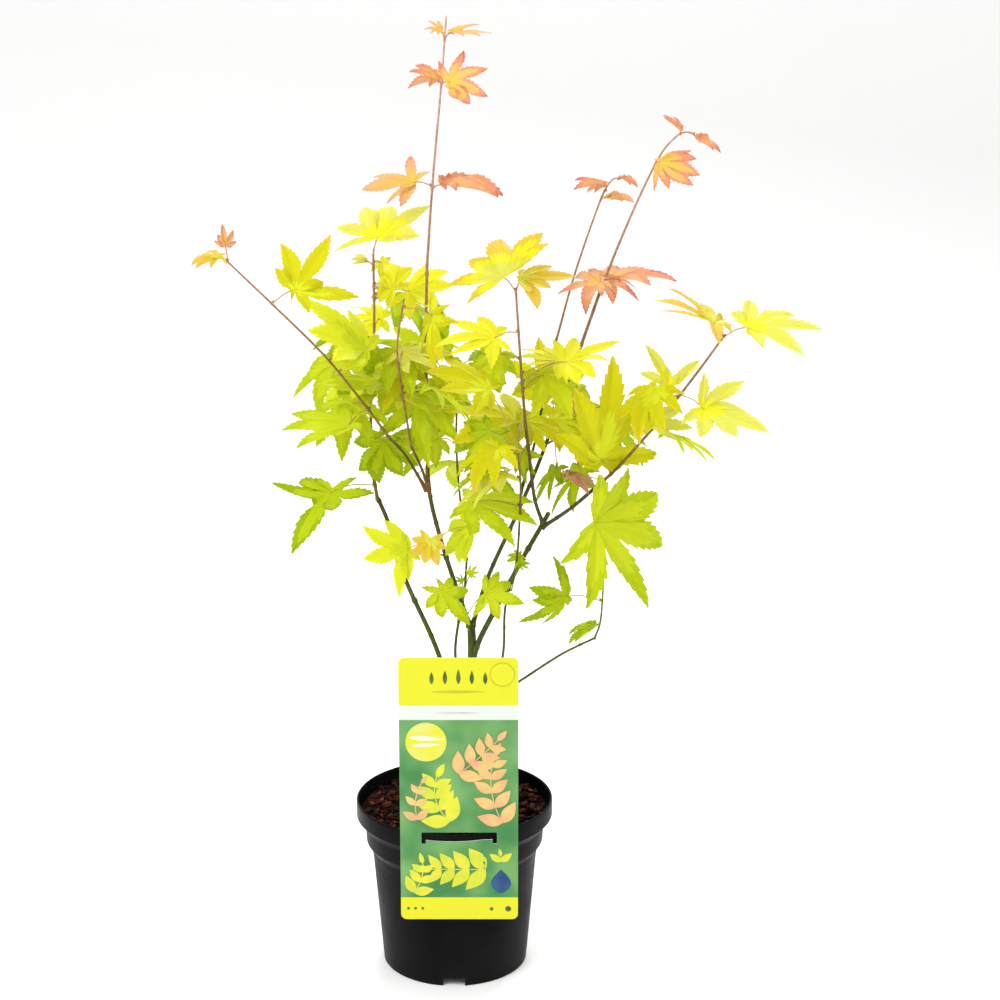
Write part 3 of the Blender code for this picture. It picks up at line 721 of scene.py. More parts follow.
@dataclass
class Pot:
    """The nursery pot: a thin cup with a rolled lip and a notched foot.

    Attributes hold millimetres, and repeat the plain solid's own sizes.
    """

    rim_r: float = 85.0
    rim_top: float = 150.0
    lip_under: float = 134.5
    lip_inner_r: float = 83.0
    collar_r: float = 77.5
    collar_top: float = 127.0
    collar_foot: float = 112.0
    body_top: float = 105.6
    body_top_r: float = 72.0
    foot_r: float = 63.0
    wall: float = 1.5
    foot_recess: float = 8.0
    floor_top: float = 9.8
    pad_r: float = 15.0
    ring_w: float = 4.5
    notch_w: float = 19.0
    notches: int = 4
    drain_holes: int = 6
    drain_d: float = 9.0
    drain_ring_r: float = 37.0
    corner: float = 1.3
    sides: int = 160
    sharp: float = 32.0
    finish: MouldedPlastic = MouldedPlastic(
        "pot_satin_plastic", grain=0.5, patch=34.0, roughness=(0.36, 0.48), relief=0.035,
        specular=0.05)

    def wall_r(self, z: float) -> float:
        """Return the body's outer radius at a height below its collar."""
        return self.foot_r + (self.body_top_r - self.foot_r) * z / self.body_top

    def profile(self) -> Array:
        """Return the cup's section, from inside the floor round to the pad.

        Each corner is rounded, and the body wall has a low moulded bead.

        Returns:
            Places (n, 2), as radius and height.
        """
        inside = self.wall_r(self.floor_top) - self.wall
        bead = self.body_top - 6.0
        corners = (
            (0, self.floor_top), (inside, self.floor_top),
            (self.body_top_r - self.wall, self.body_top),
            (self.collar_r - 2.2, self.collar_foot + 0.5),
            (self.collar_r - self.wall, self.collar_top + 0.5),
            (self.lip_inner_r - 0.8, self.lip_under + 2),
            (self.lip_inner_r, self.rim_top - 1), (self.lip_inner_r + 0.6, self.rim_top),
            (self.rim_r - 0.6, self.rim_top), (self.rim_r, self.rim_top - 1),
            (self.rim_r, self.lip_under + 0.6), (self.rim_r - 0.6, self.lip_under),
            (self.rim_r - 2.2, self.lip_under + 0.4), (self.collar_r + 0.4, self.collar_top),
            (self.collar_r, self.collar_top - 2), (self.collar_r - 0.7, self.collar_foot),
            (self.body_top_r, self.body_top),
            (self.wall_r(bead), bead), (self.wall_r(bead) - 0.35, bead - 1.2),
            (self.wall_r(8) - 0.1, 8), (self.foot_r, 0), (self.foot_r - self.ring_w, 0),
            (self.foot_r - self.ring_w, self.foot_recess),
            (self.pad_r + 1, self.foot_recess), (self.pad_r, 0), (0, 0))
        return rounded(corners, self.corner)

    def cutters(self) -> Shell:
        """Return the boxes and rods that cut the notches and drain holes.

        Returns:
            The closed boxes and rods as one shell.
        """
        shells = []
        corner = np.array([(x, y, z) for x in (-1, 1) for y in (-1, 1) for z in (-1, 1)], float)
        sides = np.array([(0, 1, 3, 2), (4, 6, 7, 5), (0, 4, 5, 1), (2, 3, 7, 6),
                          (0, 2, 6, 4), (1, 5, 7, 3)])
        for i in range(self.notches):
            a = math.radians(-90 + 360 / self.notches * i)
            spin = np.array(((math.cos(a), -math.sin(a), 0), (math.sin(a), math.cos(a), 0),
                             (0, 0, 1)))
            box = corner * (7, self.notch_w / 2, self.foot_recess - 0.5)
            box = (box + (self.foot_r - self.ring_w / 2, 0, 0)) @ spin.T
            shells.append(Shell(box).add_faces(sides))
        for i in range(self.drain_holes):
            a = math.radians(30 + 360 / self.drain_holes * i)
            spot = (self.drain_ring_r * math.cos(a), self.drain_ring_r * math.sin(a), 0)
            rod = np.array(((0, 0, 4.0), (0, 0, 9.0), (0, 0, 14.0))) + spot
            shells.append(tube(rod, np.full(3, self.drain_d / 2), 28))
        return Shell.joined(shells)

    def build(self) -> None:
        """Turn the cup, cut it and hang it on the plant."""
        finish = self.finish.material()
        pot = lathe(self.profile(), self.sides).to_object("pot_shell", [finish], self.sharp)
        cutter = self.cutters().to_object("pot_cutter", [finish])
        cut = pot.modifiers.new("cut", "BOOLEAN")
        cut.operation, cut.solver, cut.object = "DIFFERENCE", "EXACT", cutter
        bpy.context.view_layer.update()
        graph = bpy.context.evaluated_depsgraph_get()
        mesh = bpy.data.meshes.new_from_object(pot.evaluated_get(graph))
        pot.modifiers.clear()
        pot.data = mesh
        bpy.data.objects.remove(cutter)
        smooth(mesh, self.sharp)
        place(pot, "pot_plastic", "pot")


# ---------------- the compost

@dataclass
class Compost:
    """Bark compost: a rough mound with hundreds of loose flakes on it.

    Edge and top are its heights against the pot and at the trunk, reach is
    its radius, and under its edge below the top, as radii and heights.  No
    flake's middle lies within trunk_r of the trunk, and sizes are the least
    and greatest half lengths of a flake.  Shares deal out the tones.
    """

    edge: float = 139.0
    top: float = 142.6
    reach: float = 81.2
    under: tuple = ((81.2, 137.6), (75.0, 128.6))
    flakes: int = 1250
    trunk: tuple[float, float] = (10.0, 4.0)
    trunk_r: float = 9.5
    lumps: float = 0.7
    sizes: tuple[float, float] = (1.2, 5.6)
    shares: tuple = (0.46, 0.24, 0.14, 0.16)
    tones: tuple[BarkChip, ...] = (
        BarkChip("chip_red_brown", grain=1.6),
        BarkChip("chip_dark", grain=1.4, dark=(0.005, 0.0018, 0.0012), light=(0.030, 0.007, 0.004)),
        BarkChip("chip_tan", grain=1.8, relief=0.3, specular=0.08, dark=(0.040, 0.011, 0.006),
                 light=(0.19, 0.058, 0.026)),
        BarkChip("crumb_black", grain=1.2, patch=5.0, roughness=(0.8, 0.95), relief=0.5,
                 specular=0.05, dark=(0.003, 0.0015, 0.001), light=(0.020, 0.006, 0.004)))

    def level(self, x: Array, y: Array) -> Array:
        """Return the mound's height at places across it.

        The height falls from the top to the edge as a smoothstep of the
        radius, with low lumps of noise.
        """
        share = smoothstep(np.hypot(x, y) / self.reach)
        return self.top + (self.edge - self.top) * share + self.lumps * waves(4, x / 6, y / 6)

    def mound(self) -> Shell:
        """Return the mound as a closed lens under the flakes.

        Returns:
            The closed lens.
        """
        sides = 120
        turn, radii = ring(sides), np.linspace(0, self.reach, 34)[1:, None]
        x, y = radii * np.cos(turn), radii * np.sin(turn)
        rows = np.stack((x, y, self.level(x, y) - 1.0), -1)
        under = [np.stack((r * np.cos(turn), r * np.sin(turn), np.full(sides, z)), -1)
                 for r, z in self.under]
        return Shell.grid(np.concatenate((rows, under)), True, 3).capped(
            (0, 0, self.top - 1), (0, 0, self.under[-1][1]), sides, (3, 3))

    def flake_shape(self) -> tuple[Array, Array, Array]:
        """Return one flake's unit vertices, its quads and its triangles.

        It is a squared-off ball of two rings of seven and two poles.

        Returns:
            Places (16, 3), quads (7, 4) and triangles (14, 3).
        """
        turn, i = ring(7), np.arange(7)
        rings = [np.stack((c * np.cos(turn + s), c * np.sin(turn + s), np.full(7, z)), -1)
                 for c, s, z in ((0.86, 0.0, -0.7), (1.0, 0.35, 0.55))]
        j = np.roll(i, -1)
        return (np.vstack((*rings, (0, 0, -0.9), (0, 0, 0.9))), np.stack((i, j, j + 7, i + 7), -1),
                np.vstack((np.stack((j, i, np.full(7, 14)), -1),
                           np.stack((i + 7, j + 7, np.full(7, 15)), -1))))

    def scattered(self) -> Shell:
        """Return the flakes, all placed, sized and turned at once.

        Returns:
            The flakes as one shell.
        """
        rng = np.random.default_rng(11)
        count = self.flakes
        radius = (self.reach - 3.0) * np.sqrt(rng.uniform(0, 1, count))
        turn = rng.uniform(0, math.tau, count)
        x, y = radius * np.cos(turn), radius * np.sin(turn)
        away = np.hypot(x - self.trunk[0], y - self.trunk[1]) > self.trunk_r
        x, y = x[away], y[away]
        count = len(x)
        size = rng.gamma(5.0, 0.55, count).clip(*self.sizes)
        size = np.minimum(size, (self.reach + 0.8 - np.hypot(x, y)).clip(0.8))
        half = np.stack((size, size * rng.uniform(0.45, 0.8, count),
                         size * rng.uniform(0.16, 0.42, count)), -1)
        rise = self.level(x, y) + half[:, 2] * 0.6 + rng.uniform(-0.9, 1.7, count)
        spin = rng.uniform(0, math.tau, count)
        tilt = np.radians(rng.normal(0, 22, count))
        lean = rng.uniform(0, math.tau, count)
        shape, quads, tris = self.flake_shape()
        points = shape[None] * (1 + rng.uniform(-0.22, 0.22, (count, len(shape), 1)))
        points = points * half[:, None]
        for angles, axis in ((spin, 2), (tilt, 0), (lean, 2)):
            points = turn_all(points, angles, axis)
        shell = Shell((points + np.stack((x, y, rise), -1)[:, None]).reshape(-1, 3))
        first = (np.arange(count) * len(shape))[:, None, None]
        tone = rng.choice(len(self.tones), count, p=self.shares)
        for faces in (quads, tris):
            shell.add_faces((faces[None] + first).reshape(-1, faces.shape[1]),
                            np.repeat(tone, len(faces)))
        return shell

    def build(self) -> None:
        """Build the mound and its flakes and hang them on the plant."""
        finishes = [tone.material() for tone in self.tones]
        place(self.mound().to_object("compost_mound", finishes), "bark_compost", "soil")
        place(self.scattered().to_object("bark_flakes", finishes, None), "bark_compost", "soil")


def turn_all(points: Array, angles: Array, axis: int) -> Array:
    """Turn many small shapes about one axis, each by its own angle.

    Args:
        points: (shapes, vertices, 3).
        angles: one angle a shape, in radians.
        axis: 0, 1 or 2 for X, Y or Z.

    Returns:
        The turned points.
    """
    a, b = (axis + 1) % 3, (axis + 2) % 3
    cos, sin = np.cos(angles)[:, None], np.sin(angles)[:, None]
    turned = points.copy()
    turned[..., a] = points[..., a] * cos - points[..., b] * sin
    turned[..., b] = points[..., a] * sin + points[..., b] * cos
    return turned


# ---------------- the tag

class TagField(Enum):
    """The card's printed fields from its top down, then its back.

    Each has its ink's name, the size of its patches and its two colours.
    """

    HEADER = ("ink_header_yellow", 120.0, (0.62, 0.61, 0.020), (0.60, 0.605, 0.024))
    STRIP = ("ink_strip_white", 60.0, (0.61, 0.655, 0.615), (0.60, 0.64, 0.60))
    PANEL = ("ink_panel_green", 44.0, (0.050, 0.20, 0.062), (0.17, 0.36, 0.115))
    FOOTER = ("ink_footer_yellow", 90.0, (0.64, 0.625, 0.020), (0.62, 0.61, 0.026))
    BACK = ("card_back", 70.0, (0.80, 0.80, 0.76), (0.72, 0.73, 0.69))


class TagPrint(Enum):
    """The printed shapes: their ink, then each shape's kind and its sizes."""

    BADGE = (("ink_badge_yellow", 25.0, (0.62, 0.61, 0.03), (0.62, 0.61, 0.16)),
             ("disc", -27, 232, 17))
    YELLOW_SPRIGS = (("ink_sprig_yellow", 16.0, (0.66, 0.62, 0.05), (0.50, 0.57, 0.04)),
                     ("sprig", 22, 118, 176, 2, 4, 14, 25, 1), ("sprig", -38, 97, 62, 14, 3, 11, 17, 1),
                     ("sprig", -8, 161, 126, -16, 4, 13, 24, 1), ("sprig", 35, 125, 92, 8, 1, 5, 12, 1))
    PEACH_SPRIGS = (("ink_sprig_peach", 16.0, (0.62, 0.33, 0.17), (0.66, 0.48, 0.16)),
                    ("sprig", 36, 160, 112, -9, 5, 15, 22, 4), ("sprig", 0, 204, 40, 2, 4, 13, 21, 8),
                    ("sprig", -35, 163, 96, -14, 3, 13, 14, 5))
    DOTS = (("ink_dots_green", 9.0, (0.10, 0.15, 0.03), (0.05, 0.09, 0.03)),
            *(("disc", x, 82.5, 1.2) for x in (-43, -37, -31)),
            ("disc", 27, 82, 1.6), ("disc", 41, 82, 2.5),
            *(("leaflet", x, 282.5, 13.5 - 0.12 * abs(x), 3.6, 90) for x in (-22, -11, 0, 11, 22)))
    RING = (("ink_ring_olive", 20.0, (0.50, 0.46, 0.02), (0.42, 0.40, 0.02)),
            ("disc", 36, 291, 10.6, 9.5, 0.6), ("leaflet", -23, 276, 46, 2.4, 0))
    RULE = (("ink_rule_grey", 20.0, (0.50, 0.52, 0.52), (0.42, 0.44, 0.44)),
            ("leaflet", -20, 257.6, 40, 1.5, 0))
    BANDS = (("ink_band_cream", 20.0, (0.86, 0.86, 0.55), (0.84, 0.84, 0.60)),
             ("leaflet", -42, 236, 30, 4, -3, 2), ("leaflet", -39, 229, 24, 3, 2, 2))
    LOZENGE = (("ink_lozenge_navy", 12.0, (0.020, 0.055, 0.16), (0.035, 0.09, 0.20)),
               ("leaflet", 35, 96, 22, 17, 90))


def ink(name: str, patch: float, first: Colour, second: Colour) -> Material:
    """Return a printed ink that drifts between two colours."""
    return PrintedCard(name, patch=patch, ink=first, drift=second).material()


@dataclass
class Tag:
    """The card tag that hangs on the pot's lip by a slot.

    The front carries plain fields of colour and a sprig of oval leaflets.
    """

    width: float = 98.5
    bottom: float = 72.5
    top: float = 305.5
    thick: float = 0.8
    corner: float = 5.0
    shift: float = 5.5
    back: float = 81.4
    slot_half: float = 31.5
    slot_low: float = 145.0
    slot_high: float = 151.4
    leg_w: float = 3.5
    leg_drop: float = 3.8
    bulge_foot: float = 100.0
    lip_r: float = 85.6
    lip_under: float = 134.5
    strip_top: float = 264.0
    strip_foot: float = 251.5
    footer_top: float = 92.5
    ink_lift: float = 0.07
    stem_w: float = 0.45

    def ahead(self, x: Array, z: Array) -> Array:
        """Return how far the card stands forward of its plane.

        Below the slot it clears the pot's lip: the lip's circle less the
        card's distance, where that is more than nothing, faded in by a
        smoothstep of the height.

        Args:
            x: places across the card.
            z: their heights.

        Returns:
            Millimetres forward.
        """
        clear = np.sqrt(self.lip_r ** 2 - (x + self.shift) ** 2) - self.back
        fade = smoothstep((z - self.bulge_foot) / (self.lip_under - 2 - self.bulge_foot))
        return np.where(z <= self.slot_low + 0.01, np.maximum(clear, 0.0) * fade, 0.0)

    def seated(self, x: Array, z: Array, lift: float) -> Array:
        """Return places on the card's front, raised by a lift, in the room."""
        y = -self.back - self.thick - self.ahead(x, z) - lift
        return np.stack((x + self.shift, y, z + 0 * x), -1)

    def half_width(self, z: Array) -> Array:
        """Return half the card's width at a height, less at its corners.

        Args:
            z: heights.

        Returns:
            Half widths.
        """
        dip = np.maximum(np.maximum(z - (self.top - self.corner),
                                    self.bottom + self.corner - z), 0.0)
        inset = self.corner - np.sqrt(np.maximum(self.corner ** 2 - dip ** 2, 0.0))
        return self.width / 2 - inset

    def card(self) -> Shell:
        """Return the card: a grid with the slot left out, then thickened.

        Returns:
            The closed card, painted by field.
        """
        inner = self.slot_half - self.leg_w
        arc = self.corner * (1 - np.cos(np.linspace(0, math.pi / 2, 7)))
        edges = (self.strip_top, self.strip_foot, self.footer_top)
        heights = np.unique(np.round(np.concatenate((
            edges, (self.slot_low, self.slot_high, self.slot_low - self.leg_drop),
            self.bottom + arc, self.top - arc, np.arange(self.bulge_foot, self.slot_low, 3.0),
            np.arange(160, self.top - 8, 9.0))), 3))
        outer = np.array((-1, -0.94, -0.86, -0.76)) * self.width / 2
        across = np.concatenate((outer, (-self.slot_half,), np.linspace(-inner, inner, 21),
                                 (self.slot_half,), -outer[::-1]))
        x, z = np.meshgrid(across, heights)
        x = np.where(np.abs(x) > 36, np.sign(x) * np.minimum(
            np.abs(x), self.half_width(z) * np.abs(x) / (self.width / 2)), x)
        mid_x = np.abs(0.25 * (x[:-1, :-1] + x[:-1, 1:] + x[1:, :-1] + x[1:, 1:]))
        mid_z = 0.5 * (z[:-1, :-1] + z[1:, :-1])
        shell = Shell.grid(self.seated(x, z, 0.0), paint=(mid_z[..., None] <= edges).sum(axis=-1))
        slot = (mid_x < self.slot_half) & (mid_z < self.slot_high) & (
            (mid_z > self.slot_low) | (mid_x > inner) & (mid_z > self.slot_low - self.leg_drop))
        kept = ~slot.ravel()
        shell.faces[0], shell.paints[0] = shell.faces[0][kept], shell.paints[0][kept]
        return shell.thickened(np.array((0.0, self.thick, 0.0)), len(TagField) - 1)

    def disc(self, x: float, z: float, outer: float, inner: float = 0.0,
             lift: float = 1.0) -> list[Shell]:
        """Return a printed disc or ring on the card's front.

        Args:
            x: its middle, across the card.
            z: its middle's height.
            outer: its radius.
            inner: the radius of its hole.
            lift: how many ink layers lie under it, and its own.

        Returns:
            One shell, in a list.
        """
        turn, radii = ring(48), np.linspace(inner, outer, 4)[:, None]
        return [Shell.grid(self.seated(x + radii * np.cos(turn), z + radii * np.sin(turn),
                                       self.ink_lift * lift), wrap=True)]

    def leaflet(self, x: float, z: float, length: float, width: float,
                aim: float, lift: float = 1.0) -> list[Shell]:
        """Return a printed oval leaflet that starts at a place.

        Half its width is w / 2 sin(pi s^0.8) at the share s of its length.

        Args:
            x: its start, across the card.
            z: its start's height.
            length: from end to end.
            width: at its widest.
            aim: degrees up from across.
            lift: how many ink layers lie under it, and its own.

        Returns:
            One shell, in a list.
        """
        s, side = np.linspace(0.0, 1.0, 15)[:, None], np.linspace(-1, 1, 5)[None]
        along, across = s * length + 0 * side, 0.5 * width * np.sin(math.pi * s ** 0.8) * side
        a = math.radians(aim)
        return [Shell.grid(self.seated(x + along * math.cos(a) - across * math.sin(a),
                                       z + along * math.sin(a) + across * math.cos(a),
                                       self.ink_lift * lift))]

    def sprig(self, x: float, z: float, aim: float, bend: float, pairs: int,
              pitch: float, size: float, lift: float) -> list[Shell]:
        """Return an arching sprig with pairs of leaflets along it.

        Args:
            x: its root, across the card.
            z: its root's height.
            aim: its first direction in degrees.
            bend: how much it turns at each pair.
            pairs: how many pairs of leaflets it bears.
            pitch: the distance between pairs.
            size: the length of the largest leaflets.
            lift: how many ink layers lie under it.

        Returns:
            The stalk and the leaflets.
        """
        spots, shells = [(x, 0, z)], []
        for k in range(pairs):
            share = 1 - 0.45 * k / pairs
            for side in (-1, 1):
                shells += self.leaflet(x, z, size * share, size * share * 0.5, aim + side * 52,
                                       lift + 0.45 * k + 0.22 * (side > 0))
            x += pitch * share * math.cos(math.radians(aim))
            z += pitch * share * math.sin(math.radians(aim))
            aim += bend
            spots.append((x, 0, z))
        lift += 0.45 * pairs
        shells += self.leaflet(x, z, size * 0.6, size * 0.26, aim, lift)
        line = smooth_path(spots, 2.0)
        side = unit(np.gradient(line, axis=0))[:, (2, 1, 0)] * (1, 0, -1) * self.stem_w
        edges = np.stack((line - side, line + side), 1)
        return shells + [Shell.grid(self.seated(edges[..., 0], edges[..., 2],
                                                self.ink_lift * (lift + 0.3)))]

    def build(self) -> None:
        """Build the card and its printed shapes."""
        body = self.card().to_object("tag_card", [ink(*f.value) for f in TagField], 40.0)
        place(body, "tag_plastic", "tag")
        makers = {"disc": self.disc, "leaflet": self.leaflet, "sprig": self.sprig}
        for item in TagPrint:
            colours, *shapes = item.value
            shells = [shell for kind, *sizes in shapes for shell in makers[kind](*sizes)]
            piece = Shell.joined(shells).to_object("tag_" + item.name.lower(), [ink(*colours)],
                                                   40.0, False)
            place(piece, "tag_plastic")


# ---------------- the limbs

@dataclass(frozen=True)
class Limb:
    """One tapering limb, named after the CAD node that it dresses.

    It has the knots of its middle line and the radii at its root and tip,
    and stub says whether its tip is a pruned stub.
    """

    name: str
    knots: tuple
    root_r: float
    tip_r: float
    stub: bool = False


LIMBS = (
    Limb("trunk", ((10, 4, 143.3), (11, 3, 180), (14, -1, 225), (16, -5, 275), (15, -8, 313)), 7.0, 3.3),
    Limb("bough_a", ((12, 2, 190), (-13, 5, 278), (-41, 15, 342), (-55, 22, 389),
          (-65, 28, 412)), 2.3, 1.7),
    Limb("bough_b", ((14, 0, 222), (1, 20, 272), (9, 30, 328), (11, 36, 356)), 1.3, 1.0),
    Limb("bough_c", ((14, -8, 308), (2, -12, 346), (-8, -16, 380), (-16, -20, 413),
          (-20, -22, 436)), 2.0, 1.7),
    Limb("shoot_tall", ((-20, -21, 431), (-21, 0, 486), (-22, 20, 549), (-21, 35, 612)), 1.5, 1.2),
    Limb("shoot_left", ((-21, -23, 431), (-38, -34, 464), (-52, -42, 482)), 1.2, 1.1),
    Limb("shoot_mid", ((-18, -24, 426), (-24, -38, 452), (-33, -48, 476)), 1.1, 1.0),
    Limb("bough_d", ((15, -5, 268), (22, -11, 296), (40, -20, 335), (58, -31, 374), (74, -40, 406),
          (80, -42, 418)), 2.4, 1.9, True),
    Limb("bough_d1", ((75, -40, 407), (68, -46, 430), (64, -54, 462), (60, -62, 497)), 1.5, 1.2),
    Limb("bough_d2", ((74, -40, 404), (98, -41, 421), (120, -43, 441)), 1.6, 1.5),
    Limb("bough_e", ((16, -8, 308), (30, 12, 347), (54, 30, 396), (73, 45, 438), (96, 65, 498),
          (126, 90, 579)), 1.9, 1.3),
    Limb("bough_f", ((55, 31, 398), (61, 50, 424), (68, 60, 445), (78, 80, 488),
          (89, 100, 536)), 1.2, 1.0),
    Limb("bough_g", ((13, 1, 196), (31, -18, 232), (42, -32, 290), (44, -40, 335), (53, -52, 378),
          (56, -62, 425)), 1.2, 0.9),
    Limb("bough_h", ((14, 0, 216), (30, -14, 243), (57, -30, 267), (90, -50, 297),
          (118, -65, 317)), 1.2, 0.9))


@dataclass
class Frame:
    """The trunk and boughs, each a tube with the bark's relief.

    The trunk is wider by flare at the compost, which dies out over
    flare_reach.  Rings of the tube are a step apart and bud rings a
    node_pitch.  The collar, bud ring, bud and groove are shares of the
    radius, and streak, pore and scar_swell are in millimetres.
    """

    flare: float = 5.0
    flare_reach: float = 14.0
    step: float = 1.1
    node_pitch: float = 41.0
    collar: float = 0.9
    ring: float = 0.20
    bud: float = 0.30
    groove: float = 0.10
    streak: float = 0.10
    pore: float = 0.14
    scar_swell: float = 0.7
    scar_r: float = 7.0
    bark: YoungBark = YoungBark(
        "young_bark", grain=1.5, stretch=5.0, patch=11.0, roughness=(0.42, 0.62), relief=0.12,
        low=140.0, high=640.0, stops=(
            (0.00, (0.054, 0.070, 0.010)), (0.30, (0.074, 0.112, 0.008)),
            (0.50, (0.084, 0.100, 0.010)), (0.62, (0.105, 0.084, 0.016)),
            (0.76, (0.20, 0.100, 0.034)), (1.00, (0.46, 0.25, 0.15))))
    cut: BarkChip = BarkChip("pruned_wood", grain=0.6, patch=3.0, roughness=(0.6, 0.8),
                             relief=0.15, specular=0.2, dark=(0.16, 0.10, 0.05), light=(0.42, 0.31, 0.18))

    def radii(self, limb: Limb, path: Array, sides: int, seed: int) -> Array:
        """Return the radius of each ring point of a limb.

        The radius falls evenly from root to tip.  To it come the collar at
        the root, a ring at each bud with two facing buds, long streaks, and
        scattered pores.  The trunk's foot flares as exp(-3 z / reach) and
        has five low ribs.

        Args:
            limb: the limb.
            path: its middle line (n, 3).
            sides: points in a ring.
            seed: of its own pattern.

        Returns:
            Radii (n, sides).
        """
        s = run_lengths(path)[:, None]
        turn = ring(sides)[None]
        base = limb.root_r + (limb.tip_r - limb.root_r) * s / s[-1]
        radius = base + self.streak * waves(seed, np.cos(turn) * 5, np.sin(turn) * 5, s / 22)
        rng = np.random.default_rng(seed)
        spot, quarter = rng.uniform(14, 26), 0
        while spot < s[-1, 0] - 4:
            near = np.exp(-((s - spot) / 1.5) ** 2)
            bud = np.exp(-((s - spot - 1.6) / 1.5) ** 2) * np.cos(turn - quarter) ** 8
            radius = radius + base * (self.ring * near + self.bud * bud)
            radius = radius - self.groove * base * np.exp(-((s - spot + 1.5) / 0.6) ** 2)
            spot += self.node_pitch * rng.uniform(0.75, 1.2)
            quarter += math.pi / 2
        for _ in range(int(s[-1, 0] / 9)):
            at, side = rng.uniform(5, s[-1, 0]), rng.uniform(0, math.tau)
            gap = np.angle(np.exp(1j * (turn - side))) * base
            radius = radius + self.pore * np.exp(-(gap / 0.45) ** 2 - ((s - at) / 0.9) ** 2)
        scar = np.linalg.norm(path - SCAR, axis=1)[:, None]
        radius = radius + self.scar_swell * np.exp(-(scar / self.scar_r) ** 2)
        if limb.name == "trunk":
            rise = path[:, 2:3] - path[0, 2]
            foot = self.flare * np.exp(-rise * 3 / self.flare_reach)
            radius = radius + foot * (1 + 0.20 * np.cos(5 * turn + 0.7))
        else:
            radius = radius + self.collar * base * np.exp(-s / 3.2)
        return radius

    def dress(self, limb: Limb, seed: int) -> Shell:
        """Return a limb's surface, with its tip drawn in to a dome.

        Args:
            limb: the limb.
            seed: of its own pattern.

        Returns:
            The closed surface.
        """
        path = smooth_path(limb.knots, self.step)
        sides = 40 if limb.name == "trunk" else 24
        radii = self.radii(limb, path, sides, seed)
        s = run_lengths(path)
        left = (s[-1] - s)[:, None]
        depth = 0.35 if limb.stub else limb.tip_r
        radii = radii * np.sqrt(np.clip(1 - np.clip(1 - left / depth, 0, 1) ** 2, 0.02, 1))
        paint = np.where(left[1:, 0] < 0.45, 1, 0) if limb.stub else 0
        return tube(path, radii, sides, paint)

    def build(self) -> None:
        """Dress every limb and hang it on the plant."""
        finishes = [self.bark.material(), self.cut.material()]
        for seed, limb in enumerate(LIMBS, LIMB_SEED):
            piece = self.dress(limb, seed).to_object(limb.name + "_bark", finishes, 60.0)
            slot = "trunk_bark" if limb.name == "trunk" else "bough_bark"
            place(piece, slot, limb.name)


# ---------------- the leaves

class Shade(Enum):
    """The plain leaf colours, in the order of the leaf materials."""

    PALE = (0.72, 0.70, 0.17)
    LEMON = (0.67, 0.66, 0.095)
    YELLOW = (0.75, 0.73, 0.022)
    ACID = (0.64, 0.68, 0.020)
    LIME = (0.54, 0.61, 0.016)
    OLIVE = (0.57, 0.55, 0.008)
    SPRING = (0.44, 0.53, 0.009)
    GREEN = (0.30, 0.41, 0.006)
    MOSS = (0.16, 0.29, 0.010)
    GOLD = (0.70, 0.52, 0.035)
    HONEY = (0.72, 0.50, 0.080)
    AMBER = (0.74, 0.46, 0.13)
    PEACH = (0.72, 0.40, 0.20)
    CORAL = (0.69, 0.29, 0.16)
    ROSE = (0.54, 0.16, 0.12)
    TAN = (0.40, 0.24, 0.10)


class Tint(Enum):
    """A leaf's shades, from its heart through its lobes to its margin."""

    PALE = "LEMON PALE PALE PALE"
    LEMON = "YELLOW LEMON LEMON PALE"
    GOLD = "LEMON YELLOW GOLD HONEY"
    YELLOW = "YELLOW YELLOW YELLOW LEMON"
    OLIVE = "ACID OLIVE OLIVE GOLD"
    ACID = "LIME ACID ACID YELLOW"
    LIME = "ACID LIME LIME ACID"
    SPRING = "LIME LIME SPRING SPRING"
    GREEN = "SPRING SPRING GREEN GREEN"
    MOSS = "GREEN GREEN MOSS MOSS"
    PEACH = "HONEY AMBER PEACH CORAL"
    CORAL = "AMBER PEACH CORAL ROSE"
    SUNSET = "HONEY AMBER CORAL ROSE"
    ORANGE = "LEMON GOLD HONEY AMBER"
    TAN = "HONEY TAN TAN ROSE"


class Habit(Enum):
    """How a leaf is held.

    Each has the depth of its gaps and the fullness of its lobes, the slope
    at which its lobes fold up, how far its tips curl down, and how much its
    lobes differ from each other.
    """

    OPEN = (0.345, 0.100, 0.16, 0.07, 1.0)
    DEEP = (0.285, 0.082, 0.24, 0.10, 1.2)
    LIMP = (0.300, 0.085, 0.40, 0.16, 1.6)
    YOUNG = (0.330, 0.070, 0.60, 0.06, 1.0)
    SHUT = (0.300, 0.060, 1.10, 0.10, 1.2)


@dataclass(frozen=True)
class Growth:
    """The seeded blades of a mass, between two shares of its stem.

    Turn is the first blade's turn round the stem in degrees, length their
    usual length, and the tints are dealt out in turn.
    """

    count: int = 0
    turn: float = 0.0
    length: float = 0.0
    low: float = 0.0
    high: float = 0.0
    tints: tuple[Tint, ...] = (Tint.SPRING,)


@dataclass(frozen=True)
class Blade:
    """A blade with a place of its own.

    Its row is across, away, up, length, aim, lean, face and perhaps roll.
    Its tips are where some lobes' tips come on the front elevation, in the
    order of TIP_LOBES, with None for a lobe that keeps its shape.
    """

    tint: Tint
    row: tuple
    tips: tuple = ()
    habit: Habit = Habit.OPEN


@dataclass(frozen=True)
class Mass:
    """One mass of leaves, named after the CAD node that it replaces.

    It has the knots of its stem, the stem's radii at its root and tip, the
    blades that the rule grows, and the blades with a place of their own.
    """

    name: str
    knots: tuple
    root_r: float
    tip_r: float
    growth: Growth
    blades: tuple[Blade, ...]


